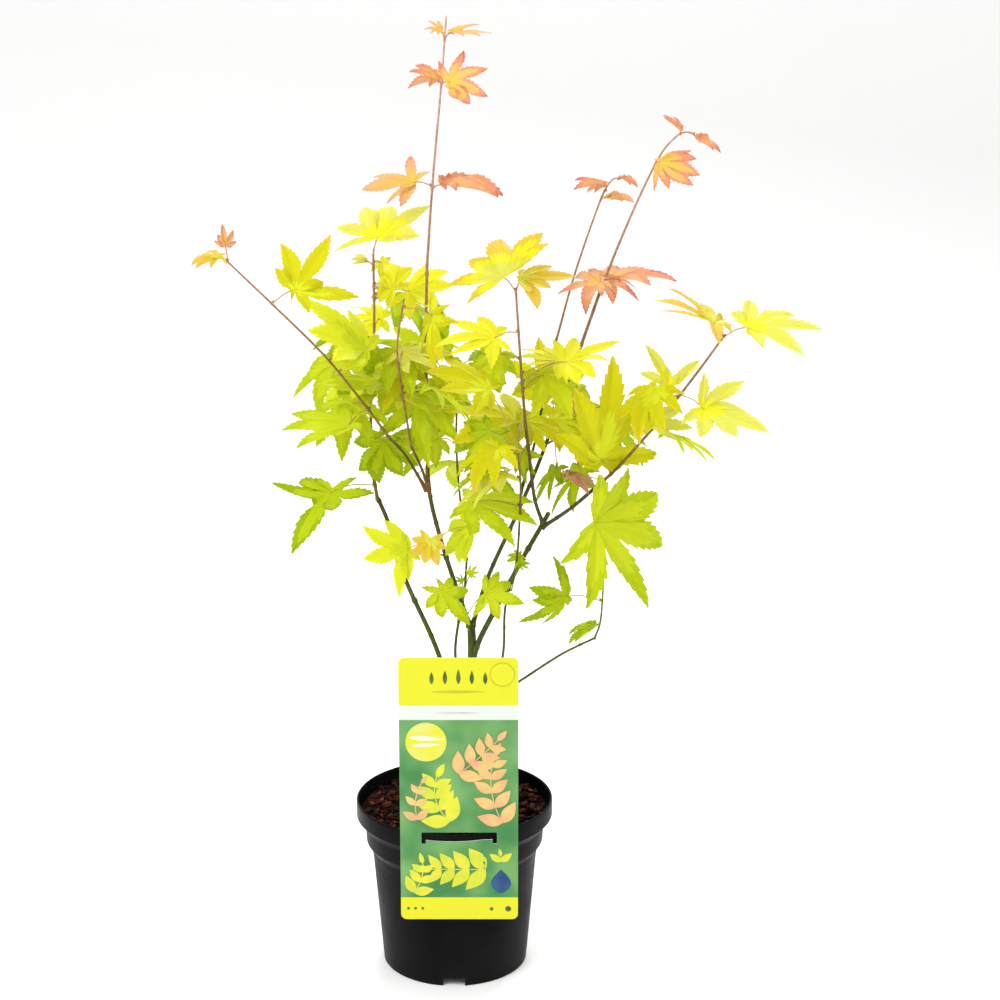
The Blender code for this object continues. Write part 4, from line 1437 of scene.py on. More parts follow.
T, H = Tint, Habit
MASSES = (
    Mass("leaves_top", ((-21, 34.5, 610), (-16, 45, 679), (-9, 50, 752), (-4, 50, 812)),
         1.1, 0.7, Growth(), (
        Blade(T.PEACH, (-7, 50, 802, 17, 165, 10, 70), ((-21, 803), (-18, 810), (-10, 810), (-6, 806),
            (-16, 800), (-10, 799)), H.LIMP),
        Blade(T.PEACH, (0, 50, 801, 34, 4, 10, 84), ((33, 800), (24, 798), (11, 798), (3, 799), (24, 807),
            (13, 806), (3, 803)), H.DEEP),
        Blade(T.CORAL, (-9, 54, 764, 29, 175, 0, 68), ((-33, 770), (-28, 775), (-17, 770), (-10, 767),
            (-34, 757), (-17, 758), (-10, 761)), H.SHUT),
        Blade(T.SUNSET, (-1, 44, 762, 38, 11, 10, 15), ((30, 751), (16, 745), (6, 749), (2, 756), (30, 773),
            (11, 787), (-9, 779))),
        Blade(T.PEACH, (-29, 50, 683, 46, 190, 5, 64), ((-72, 676), (-63, 686), (-32, 703), (-16, 691),
            (-52, 665), (-41, 663), (-34, 676)), H.DEEP),
        Blade(T.CORAL, (-8, 36, 681, 54, -10, 0, 94), ((42, 671), (38, 670), (4, 675), (-4, 676), (38, 675),
            (21, 683), (-2, 684)), H.SHUT))),
    Mass("leaves_a", ((-64.8, 27.5, 410), (-69, 32, 440), (-70, 45, 492), (-67, 55, 551), (-67, 60, 616)),
         1.5, 0.9, Growth(3, 100, 54, 0.3, 0.8, (T.LIME, T.SPRING, T.GREEN)), (
        Blade(T.LEMON, (-60, 62, 638, 60, 60, -50, 78), ((-47, 663), (-17, 663), (-26, 638), (-45, 635),
            (-69, 662), (-93, 645), (-96, 626))),
        Blade(T.GOLD, (-58, 66, 618, 17, -50, 20, 60)),
        Blade(T.PALE, (-68, 52, 618, 14, 169, 20, 60), ((-82, 619), (-79, 623), (-76, 622), (-72, 620),
            (-81, 616), (-77, 617), (-72, 619)), H.SHUT),
        Blade(T.YELLOW, (-35, 30, 594, 54, 8, 10, 60), ((1, 597), (-12, 576), (-34, 569), (-55, 576),
            (-2, 610), (-19, 616))),
        Blade(T.YELLOW, (-48, 46, 603, 40, 140, 0, 66), ((-58, 609), (-51, 616), (-42, 614), None,
            (-60, 600), (-59, 590))),
        Blade(T.YELLOW, (-58, 84, 571, 44, 172, 0, 66), ((-89, 568), (-83, 580), (-62, 583), None,
            (-91, 555))),
        Blade(T.GREEN, (-102, 18, 424, 66, -123, 42, 62), ((-136, 369), (-152, 431), (-129, 431),
            (-116, 435), (-102, 407), (-66, 422), (-80, 436)), H.DEEP),
        Blade(T.YELLOW, (-48, 12, 597, 46, 128, 0, 60), ((-59, 603), (-53, 614), (-32, 613), None,
            (-61, 593), (-60, 584))))),
    Mass("leaves_b", ((11, 35.5, 354), (7, 42, 388), (2, 60, 450), (4, 78, 515)),
         1.0, 0.8, Growth(7, 60, 56, 0.35, 1.0, (T.SPRING, T.GREEN, T.LIME, T.MOSS)), (
        Blade(T.LIME, (0, 52, 515, 54, 200, 0, 62)),
        Blade(T.GREEN, (27, 62, 523, 50, 60, -30, 70), ((32, 543), (42, 531), (45, 516), None, (21, 543),
            (9, 530))),
        Blade(T.SPRING, (-12, 34, 469, 50, 188, 5, 66)),
        Blade(T.GREEN, (24, 44, 443, 44, -30, 0, 72)),
        Blade(T.GREEN, (-7, 66, 541, 48, 84, 0, 40), ((-12, 586), (-8, 561), (-1, 538), None,
            (-24, 571))))),
    Mass("leaves_left", ((-51, -41.5, 481), (-71, -50, 512), (-100, -64, 553), (-137, -78, 595),
         (-171, -90, 632)), 1.1, 0.7, Growth(2, 250, 48, 0.1, 0.5, (T.SPRING, T.GREEN)), (
        Blade(T.CORAL, (-184, -92, 632, 18, 96, 15, 50), ((-186, 649), (-177, 644), (-175, 635),
            (-178, 631), (-190, 640), (-193, 635), (-189, 631)), H.SHUT),
        Blade(T.ORANGE, (-189, -96, 621, 24, 193, 10, 78), ((-212, 615), (-207, 621), (-199, 625), None,
            (-208, 612), (-196, 612)), H.SHUT),
        Blade(T.OLIVE, (-127, -98, 594, 46, 60, 10, 25, 35), ((-98, 640), (-105, 602), (-76, 589),
            (-117, 576), (-139, 633), (-144, 613), (-131, 583))),
        Blade(T.ACID, (-71, -66, 545, 58, 150, 15, 50), ((-119, 561), (-125, 588), (-85, 578), None,
            (-98, 535), (-90, 528), (-79, 525))),
        Blade(T.LIME, (-59, -80, 519, 52, 186, 5, 78), ((-110, 515), (-97, 523), None, None, (-96, 511),
            (-68, 506))),
        Blade(T.SPRING, (-85, -72, 482, 64, 188, 10, 70), ((-142, 476), (-134, 490), (-92, 498), (-78, 493),
            (-130, 461), (-98, 470), (-78, 475)), H.DEEP),
        Blade(T.GREEN, (-58, -64, 468, 48, -100, 20, 40, 20), ((-61, 431), (-78, 442), (-82, 466),
            (-76, 482), (-41, 437), (-28, 446), (-42, 470))))),
    Mass("leaves_mid", ((-32.5, -47.5, 475), (-38, -56, 517), (-42, -64, 559), (-36, -66, 600)),
         1.0, 0.7, Growth(2, 20, 46, 0.2, 0.8, (T.LIME, T.SPRING)), (
        Blade(T.OLIVE, (-16, -56, 574, 44, -98, 10, 40, 60)),
        Blade(T.LEMON, (-42, -84, 543, 42, 3, 10, 75)),
        Blade(T.LIME, (-44, -90, 509, 34, -5, 10, 75)),
        Blade(T.OLIVE, (-33, -40, 528, 48, 204, 0, 66)))),
    Mass("leaves_low", ((-6, -15, 372), (-13, -28, 379), (-18, -38, 390)), 0.9, 0.7, Growth(), (
        Blade(T.ACID, (-38, -46, 374, 42, 195, 10, 25), ((-76, 365), (-76, 394), (-58, 399), (-43, 390),
            (-46, 331), (-38, 346), (-28, 364))),
        Blade(T.ORANGE, (-19, -52, 382, 30, -100, 10, 50), ((-24, 361), (-35, 369), (-35, 383), None,
            (-12, 359), (-6, 374))),
        Blade(T.LIME, (15, -50, 395, 50, -105, 15, 40, 45), ((6, 361), (-6, 368), (-4, 390), None,
            (11, 362), (23, 389), (22, 402))))),
    Mass("leaves_foot", ((15, -8, 300), (13, -20, 311), (12, -30, 325)), 0.9, 0.7, Growth(), (
        Blade(T.SPRING, (-11, -42, 338, 42, -48, 10, 30), ((14, 306), (-9, 313), (-23, 321), (-27, 340),
            (13, 337), (-1, 348), (-16, 349)), H.DEEP),
        Blade(T.SPRING, (28, -46, 334, 38, -12, 10, 30), ((60, 325), (39, 311), (17, 313), (19, 324),
            (50, 343), (39, 354), (27, 352)), H.DEEP))),
    Mass("leaves_d1", ((60.2, -61.5, 495), (57, -68, 534), (52, -85, 608)),
         1.2, 0.8, Growth(1, 300, 46, 0.1, 0.6, (T.LIME,)), (
        Blade(T.GOLD, (42, -98, 605, 60, 84, -67, 74, -22), ((41, 636), (75, 641), (79, 632), (63, 623),
            (16, 620), (-3, 598), (13, 583))),
        Blade(T.ORANGE, (57, -75, 605, 44, -20, 15, 68), ((81, 596), (70, 578), (62, 592), (57, 598),
            (101, 605), (82, 614), (60, 611))),
        Blade(T.YELLOW, (36, -98, 555, 48, 172, 10, 64)),
        Blade(T.SPRING, (40, -58, 542, 34, -129, 10, 60)),
        Blade(T.YELLOW, (94, -64, 535, 48, 8, 5, 78), ((128, 535), (119, 521), (105, 514), (95, 515),
            (138, 551), (102, 554), (83, 553))),
        Blade(T.YELLOW, (91, -64, 535, 42, 172, 5, 78), ((54, 538), (56, 545), (75, 547), None,
            (57, 530))))),
    Mass("leaves_g", ((56, -61.5, 423), (56, -72, 450), (54, -80, 478)),
         0.9, 0.7, Growth(2, 150, 46, 0.4, 1.0, (T.SPRING, T.OLIVE)), (
        Blade(T.OLIVE, (55, -90, 486, 70, 166, 5, 70)),
        Blade(T.OLIVE, (58, -76, 485, 38, -21, 10, 76)),
        Blade(T.GREEN, (32, -66, 477, 40, -127, 15, 55)),
        Blade(T.LEMON, (43, -74, 438, 45, 200, 5, 90)),
        Blade(T.SPRING, (15, -76, 415, 58, -8, 10, 70)),
        Blade(T.GREEN, (59, -98, 460, 28, -92, 10, 50, 55)),
        Blade(T.OLIVE, (30, -96, 512, 50, 152, 5, 68)))),
    Mass("leaves_d2", ((119.6, -43, 440.6), (138, -45, 459), (169, -48, 497), (197, -50, 535),
         (218, -50, 565)), 1.4, 0.9, Growth(2, 90, 50, 0.3, 0.8, (T.LIME, T.OLIVE)), (
        Blade(T.OLIVE, (124, -62, 451, 84, 84, 8, 10, 48), ((132, 540), (156, 514), (170, 458), (144, 451),
            (100, 513), (84, 474), (100, 453)), H.DEEP),
        Blade(T.SPRING, (120, -80, 397, 88, -31, -28, 7, -22), ((176, 376), (165, 321), (112, 321),
            (90, 361), (171, 423), (146, 445), (122, 439)), H.DEEP),
        Blade(T.TAN, (93, -70, 437, 32, -20, 10, 88), ((119, 426), (114, 421), (103, 431), (94, 435),
            (115, 431), (105, 436), (93, 441)), H.SHUT),
        Blade(T.LEMON, (180, -40, 514, 36, 72, -50, 76), ((165, 539), (204, 536), (195, 526), (187, 519),
            (159, 549), (155, 525), (168, 521)), H.LIMP),
        Blade(T.LEMON, (166, -66, 480, 46, 90, -50, 74), ((172, 503), (188, 496), (200, 478), (186, 468),
            (156, 496), (148, 481), (150, 468))),
        Blade(T.LEMON, (208, -74, 495, 60, -15, 5, 66), ((264, 474), (237, 470), (206, 470), (190, 481),
            (246, 491), (242, 518), (208, 525))),
        Blade(T.LEMON, (243, -58, 564, 63, 0, 5, 76), ((304, 561), (290, 539), (256, 546), (247, 561),
            (282, 572), (245, 585), (229, 575)), H.DEEP),
        Blade(T.ORANGE, (216, -38, 568, 50, 158, 10, 78), ((165, 586), (178, 595), (204, 582), (222, 570),
            (170, 577), (220, 549), (229, 559)), H.LIMP))),
    Mass("leaves_e", ((125.5, 89.6, 577.6), (142, 100, 618), (160, 110, 658), (177, 118, 691),
         (190, 121, 706), (199, 124, 710), (207, 126, 708)),
         1.2, 0.7, Growth(1, 60, 40, 0.0, 0.1, (T.CORAL,)), (
        Blade(T.CORAL, (124, 90, 603, 62, 1, 5, 86), ((184, 601), (163, 598), (145, 593), (133, 590),
            (166, 609), (140, 610), (118, 609)), H.LIMP),
        Blade(T.CORAL, (122, 100, 601, 42, 195, 5, 72), ((87, 591), (101, 604), (113, 609), None,
            (110, 574), (123, 589), (132, 593)), H.LIMP),
        Blade(T.SUNSET, (168, 110, 699, 38, -11, 20, 25), ((201, 688), (196, 680), (176, 677), (164, 675),
            (198, 701), (194, 708), (165, 700))),
        Blade(T.CORAL, (185, 120, 724, 20, 141, 10, 60), ((170, 736), (178, 735), (184, 729), (185, 727),
            (171, 734), (180, 728), (184, 725)), H.SHUT),
        Blade(T.CORAL, (197, 130, 718, 26, -35, 10, 80), ((217, 706), (211, 708), (200, 714), (198, 717),
            (207, 716), (203, 720), (199, 720)), H.SHUT))),
    Mass("leaves_e_mid", ((78, 50, 452), (92, 42, 462), (104, 34, 476)),
         1.0, 0.8, Growth(4, 40, 54, 0.4, 1.0, (T.SPRING, T.LIME, T.GREEN)), (
        Blade(T.GREEN, (87, 30, 444, 34, -128, 10, 50, 45)),
        Blade(T.GREEN, (107, 22, 443, 46, -131, 10, 50, 40)),
        Blade(T.OLIVE, (84, 26, 486, 52, -12, 0, 68)),
        Blade(T.SPRING, (100, 52, 502, 50, 60, -30, 66), ((105, 516), (115, 504), (118, 492), None,
            (95, 513), (80, 506))),
        Blade(T.OLIVE, (82, 62, 508, 50, 106, -10, 60)))),
    Mass("leaves_f", ((88.8, 99.5, 534.5), (105, 116, 590), (127, 135, 650), (137, 139, 667),
         (145, 141, 668)), 1.0, 0.7, Growth(), (
        Blade(T.CORAL, (125, 136, 680, 26, 178, 5, 78), ((99, 676), (100, 684), (114, 684), (122, 682),
            (110, 674), (116, 674), (123, 678)), H.SHUT),
        Blade(T.CORAL, (138, 141, 686, 18, -29, 10, 78), ((151, 678), (145, 680), (141, 684), (138, 686),
            (147, 683), (141, 685)), H.SHUT),
        Blade(T.PEACH, (125, 146, 670, 26, -10, 5, 84), ((148, 666), (139, 667), (131, 668), (127, 670),
            (140, 669), (131, 671)), H.SHUT))),
    Mass("leaves_h", ((117.5, -64.8, 316.6), (122, -69, 334), (124, -74, 373)), 0.9, 0.7, Growth(), (
        Blade(T.GREEN, (96, -62, 332, 43, 188, 28, 44, -71), ((66, 329), (64, 340), (84, 368), (93, 361),
            (55, 309), (74, 307), (99, 327)), H.DEEP),)),
    Mass("leaves_tall", ((-21, 0, 486), (-28, 18, 500), (-36, 40, 522)),
         1.0, 0.8, Growth(4, 100, 54, 0.4, 1.0, (T.LIME, T.SPRING, T.OLIVE)), (
        Blade(T.LIME, (-18, 22, 536, 50, 150, 5, 62)),)))


SPROUTS = (
    ((121, -68, 331), Blade(T.GREEN, (122, -70, 306, 28, 214, 10, 40, 50), (
        (99, 289), (98, 297), (110, 305), (118, 308), (104, 291), (116, 300), (120, 304)), H.SHUT)),
    ((50, -46, 358), Blade(T.GREEN, (57, -50, 368, 13, 205, 10, 50))),
    ((49, -45, 350), Blade(T.GREEN, (56, -50, 360, 9, 20, 10, 50), habit=H.LIMP)),
    ((8, 28, 322), Blade(T.SPRING, (14, 24, 351, 10, 60, 0, 50), habit=H.YOUNG)),
    ((8, 27, 318), Blade(T.GREEN, (8, 24, 345, 8, 140, 0, 50), habit=H.YOUNG)))


@dataclass(frozen=True)
class Spot:
    """Where a blade may sit: where its stalk meets it, the directions of its
    middle lobe and its upper face, and the middle lobe's length.
    """

    centre: Array
    ahead: Array
    up: Array
    length: float

    def at(self, flat: Array) -> Array:
        """Return places of the leaf's own space, length one, in the room.

        Args:
            flat: places (..., 3).

        Returns:
            The same places in the room.
        """
        right = np.cross(self.ahead, self.up)
        return self.centre + self.length * (
            flat[..., :1] * right + flat[..., 1:2] * self.ahead + flat[..., 2:] * self.up)

    def behind(self, points: Array) -> "Spot":
        """Return the place set back along its line of sight.

        Args:
            points: the blade's vertices here.

        Returns:
            The nearest place from which the bare shoots that the blade crosses on the front
            elevation pass in front of it.
        """
        back = 0.0
        for knots in BARE:
            path = smooth_path(knots, 1.5)
            gap = np.linalg.norm(elevation(points)[:, None] - elevation(path)[None], axis=2)
            short = path[gap.argmin(axis=1), 1] + BARE_CLEAR - points[:, 1]
            back = max(back, short[gap.min(axis=1) < BARE_R].max(initial=0.0))
        sight = self.centre - EYE
        return replace(self, centre=self.centre + sight / sight[1] * min(back, BACK_MOST))


def elevation(points: Array) -> Array:
    """Return where points (n, 3) come on the front elevation, across and up."""
    sight = points - EYE
    return (EYE + sight * (-EYE[1] / sight[:, 1:2]))[:, ::2]


def placed_spots(row: tuple) -> list[Spot]:
    """Return the places that a placed blade may take, the nearest first.

    The place on the front elevation slides along its line of sight to each
    depth.  Aim turns the middle lobe in the elevation, lean to the front,
    face turns the upper side from forward to up, and roll turns the blade
    about its middle lobe.

    Args:
        row: across, away, up, length, aim, lean, face and perhaps roll.

    Returns:
        The places.
    """
    across, away, rise, length, *turns = row
    aim, lean, face, roll = np.radians((*turns, 0.0)[:4])
    ahead = np.array((math.cos(aim) * math.cos(lean), -math.sin(lean),
                      math.sin(aim) * math.cos(lean)))
    up = np.array((0.0, -math.cos(face), math.sin(face)))
    up = unit(up - ahead * (up @ ahead))
    up = up * math.cos(roll) + np.cross(ahead, up) * math.sin(roll)
    flat = np.array((across, 0.0, rise))
    return [Spot(EYE + (flat - EYE) * ((away + step - EYE[1]) / -EYE[1]), ahead, up, length)
            for step in DEPTH_STEPS]


def seeded_spots(mass: Mass, stem: Array) -> list[list[Spot]]:
    """Return the places that each seeded blade of a mass may take.

    Args:
        mass: the mass of leaves.
        stem: the points of its stem.

    Returns:
        A list of places for each blade.
    """
    growth, rng, rows = mass.growth, random.Random(mass.name), []
    rise_up = np.array((0, 0, 1))
    for i in range(growth.count):
        share = growth.low + (growth.high - growth.low) * (i + 0.5) / growth.count
        spot = stem[min(len(stem) - 1, int(share * len(stem)))]
        turn = growth.turn + GOLDEN_TURN * i + rng.uniform(-15, 15)
        size = growth.length * rng.uniform(0.85, 1.1)
        reach = size * rng.uniform(0.45, 0.65)
        rise = rng.uniform(4, 14)
        dip = math.radians(rng.uniform(20, 45))
        row = []
        for step in TURN_STEPS:
            a = math.radians(turn + step)
            out = np.array((math.cos(a), math.sin(a), 0.0))
            row.append(Spot(spot + out * reach + rise_up * rise,
                            out * math.cos(dip) - rise_up * math.sin(dip),
                            out * math.sin(dip) + rise_up * math.cos(dip), size))
        rows.append(row)
    return rows


@dataclass
class LeafPattern:
    """The flat shape of a leaf, its middle lobe one long.

    Sinus is how far out the gap between two lobes starts, and belly how much
    wider than the gap a lobe grows.  Each lobe has its angle from the middle
    lobe, its length and its teeth.
    """

    sinus: float
    belly: float
    lobes: tuple = ((0.0, 1.0, 7), (37.0, 0.92, 7), (76.0, 0.70, 5), (118.0, 0.42, 3))
    tooth: float = 0.033
    cells: int = 4

    def gap(self, i: int) -> tuple[float, float]:
        """Return the angle and radius of the gap outside lobe i.

        Args:
            i: the lobe's number.

        Returns:
            Degrees from the middle lobe, and the radius.
        """
        if i == len(self.lobes) - 1:
            return 180.0, 0.05
        angle, length, _ = self.lobes[i]
        beyond, reach, _ = self.lobes[i + 1]
        return (angle + beyond) / 2, self.sinus * min(length, reach) + 0.04

    def margin(self, length: float, teeth: int, gap: tuple[float, float]) -> tuple:
        """Carry a toothed margin from a gap to a lobe's tip.

        The margin is a cubic curve from the gap, out to the lobe's belly and
        in to its drawn-out tip.  Each tooth rises to 1 at 0.8 of its own run
        and points forward, and its height falls to nothing at the tip.

        Args:
            length: the lobe's length.
            teeth: how many teeth the margin has.
            gap: the gap's place along and out from the midrib.

        Returns:
            Places (n, 2) and the share of a tooth's height at each.
        """
        share = np.array((0.0, 0.45, 0.8))
        q = np.append(((np.arange(teeth)[:, None] + share) / teeth).ravel(), 1.0)
        rise = np.append(np.tile((0.0, 0.55, 1.0), teeth), 0.0)
        start, end = np.array(gap), np.array((length, 0.0))
        first = start + (0.38 * (length - gap[0]), self.belly * length ** 0.7)
        second = np.array((0.84 * length, 0.085 * length))
        t = (q ** RUN_POWER)[:, None]
        curve = ((1 - t) ** 3 * start + 3 * t * (1 - t) ** 2 * first
                 + 3 * t ** 2 * (1 - t) * second + t ** 3 * end)
        size = self.tooth * length ** 0.5 * rise * np.sqrt(1 - q) * smoothstep(q * 5 + 0.15)
        return curve + size[:, None] * (0.9, 1.0), rise

    def template(self) -> "LeafTemplate":
        """Lay out both sides of every lobe and weld them into one sheet.

        A vertex's columns are its place, and lobe, along, off, out and vein
        as the template has them.

        Returns:
            The welded leaf.
        """
        columns, faces, count = [], [], 0
        for i, (angle, length, teeth) in enumerate(self.lobes):
            for hand in (1, -1) if i else (1,):
                gap_angle, gap_r = self.gap(i if hand > 0 else i - 1)
                lean, a = math.radians(abs(gap_angle - angle)), math.radians(angle)
                edge, rise = self.margin(length, teeth,
                                         (gap_r * math.cos(lean), gap_r * math.sin(lean)))
                q = np.linspace(0, 1, len(edge))
                mid = np.stack((length * q ** RUN_POWER, 0 * q), -1)
                t = np.linspace(0, 1, self.cells + 1)[None, :, None]
                grid = mid[:, None] * (1 - t) + edge[:, None] * t
                x = grid[..., 0] * math.sin(a) + hand * grid[..., 1] * math.cos(a)
                y = grid[..., 0] * math.cos(a) - hand * grid[..., 1] * math.sin(a)
                quads = grid_quads(np.arange(x.size).reshape(x.shape))
                for side in (1, -1):
                    columns.append(np.stack(np.broadcast_arrays(
                        side * x, y, side * i, grid[..., 0] / length,
                        side * hand * grid[..., 1], t[..., 0], rise[:, None]), -1).reshape(-1, 7))
                    faces.append((quads if side * hand < 0 else quads[:, ::-1]) + count)
                    count += x.size
        return LeafTemplate.welded(np.vstack(columns), np.vstack(faces))


@dataclass
class LeafTemplate:
    """A welded flat leaf that every leaf of its pattern starts from.

    Flat holds places (n, 2), the middle lobe along the second.  Lobe is the
    number of each vertex's lobe, below 0 on the left, along how far along
    its lobe it is, off its distance to the right of the midrib, out 0 on a
    midrib and 1 on the margin, and vein 1 on a side vein and 0 between two.
    The rest are sizes of its unrest, as shares of its length.
    """

    flat: Array
    lobe: Array
    along: Array
    off: Array
    out: Array
    vein: Array
    quads: Array
    tris: Array
    swing_deg: float = 5.0
    rise: float = 0.05
    twist: float = 0.30
    midrib: float = 0.012
    side_veins: float = 0.009
    ripple: float = 0.016
    sag: float = 0.020
    heats: tuple = (0.14, 0.42, 0.74)

    @classmethod
    def welded(cls, columns: Array, faces: Array) -> "LeafTemplate":
        """Merge vertices at one place and turn collapsed quads into triangles.

        Args:
            columns: place, lobe, along, off, out and vein (n, 7).
            faces: quads (m, 4).

        Returns:
            The template.
        """
        _, first, index = np.unique(np.round(columns[:, :2], 6), axis=0, return_index=True,
                                    return_inverse=True)
        faces = index.ravel()[faces]
        same = faces == np.roll(faces, -1, axis=1)
        folded = same.sum(axis=1) == 1
        lobe, along, off, out, vein = columns[first, 2:].T
        return cls(columns[first, :2], lobe.astype(int), along, off, out, vein,
                   faces[~same.any(axis=1)], faces[folded][~same[folded]].reshape(-1, 3))

    def shaped(self, spot: Spot, seed: int, blade: Blade) -> Array:
        """Bend the flat leaf and set it in its place.

        Each lobe turns, rises and twists by its own random amount, which
        grows along it.  The whole leaf droops as the square of the radius,
        its lobes fold up from their midribs and curl down at their tips,
        side veins lie a little lower than what is between them, and the
        margin waves.  A lobe whose tip has a place on the front elevation
        then bends towards it, as the power 1.5 of the distance along it.

        Args:
            spot: the leaf's place.
            seed: seed of its random shape.
            blade: its habit, and where its lobes' tips come.

        Returns:
            The vertices (n, 3).
        """
        _, _, fold, curl, spread = blade.habit.value
        rng = np.random.default_rng(seed)
        which, count, along = self.lobe + 3, 7, self.along
        swing = np.radians(rng.normal(0, self.swing_deg * spread, count))[which] * along ** 2
        rise = rng.normal(0.0, self.rise * spread, count)[which] * along ** 2
        twist = rng.normal(0.0, self.twist * spread, count)[which] * along
        fold = (fold * (1 + rng.normal(0.0, 0.3, count)))[which]
        x = self.flat[:, 0] * np.cos(swing) + self.flat[:, 1] * np.sin(swing)
        y = self.flat[:, 1] * np.cos(swing) - self.flat[:, 0] * np.sin(swing)
        radius = np.hypot(x, y)
        z = -DROOP * radius ** 2 + rise - curl * along ** 3
        z += fold * np.abs(self.off) + twist * self.off - self.midrib * (1 - self.out) ** 3
        z += self.side_veins * (0.5 - self.vein) * np.sin(math.pi * self.out.clip(0, 1)) ** 0.5
        z += self.ripple * waves(seed, x * 9, y * 9, count=3) * self.out ** 2
        z += self.sag * waves(seed + 7, x * 2.5, y * 2.5, count=3) * radius
        points = spot.at(np.stack((x, y, z), -1))
        for lobe, place_mm in zip(TIP_LOBES, blade.tips):
            if place_mm is None:
                continue
            own = self.lobe == lobe
            tip = points[own][np.argmax(along[own] - np.abs(self.off[own]))]
            flat = np.array((place_mm[0], 0.0, place_mm[1]))
            goal = EYE + (flat - EYE) * ((tip[1] - EYE[1]) / -EYE[1])
            points[own] += (goal - tip) * (along[own] ** 1.5)[:, None]
        return points

    def leaf(self, spot: Spot, seed: int, blade: Blade) -> Shell:
        """Return one leaf at its place, its four colours dealt out over it.

        Heat grows towards the margin and the tips, with a little noise, and
        a face takes the colour of its own quarter of the heat.

        Args:
            spot: its place.
            seed: of its unrest and its noise.
            blade: its tint, habit and tips.

        Returns:
            The leaf.
        """
        order = list(Shade.__members__)
        shades = np.array([order.index(name) for name in blade.tint.value.split()])
        noise = waves(seed + 3, self.flat[:, 0] * 7, self.flat[:, 1] * 7, count=4)
        heat = 0.62 * self.along ** 1.5 + 0.36 * self.out ** 2 + 0.22 * noise
        shell = Shell(self.shaped(spot, seed, blade))
        for faces in (self.quads, self.tris):
            shell.add_faces(faces, shades[np.digitize(heat[faces].mean(axis=1), self.heats)])
        return shell


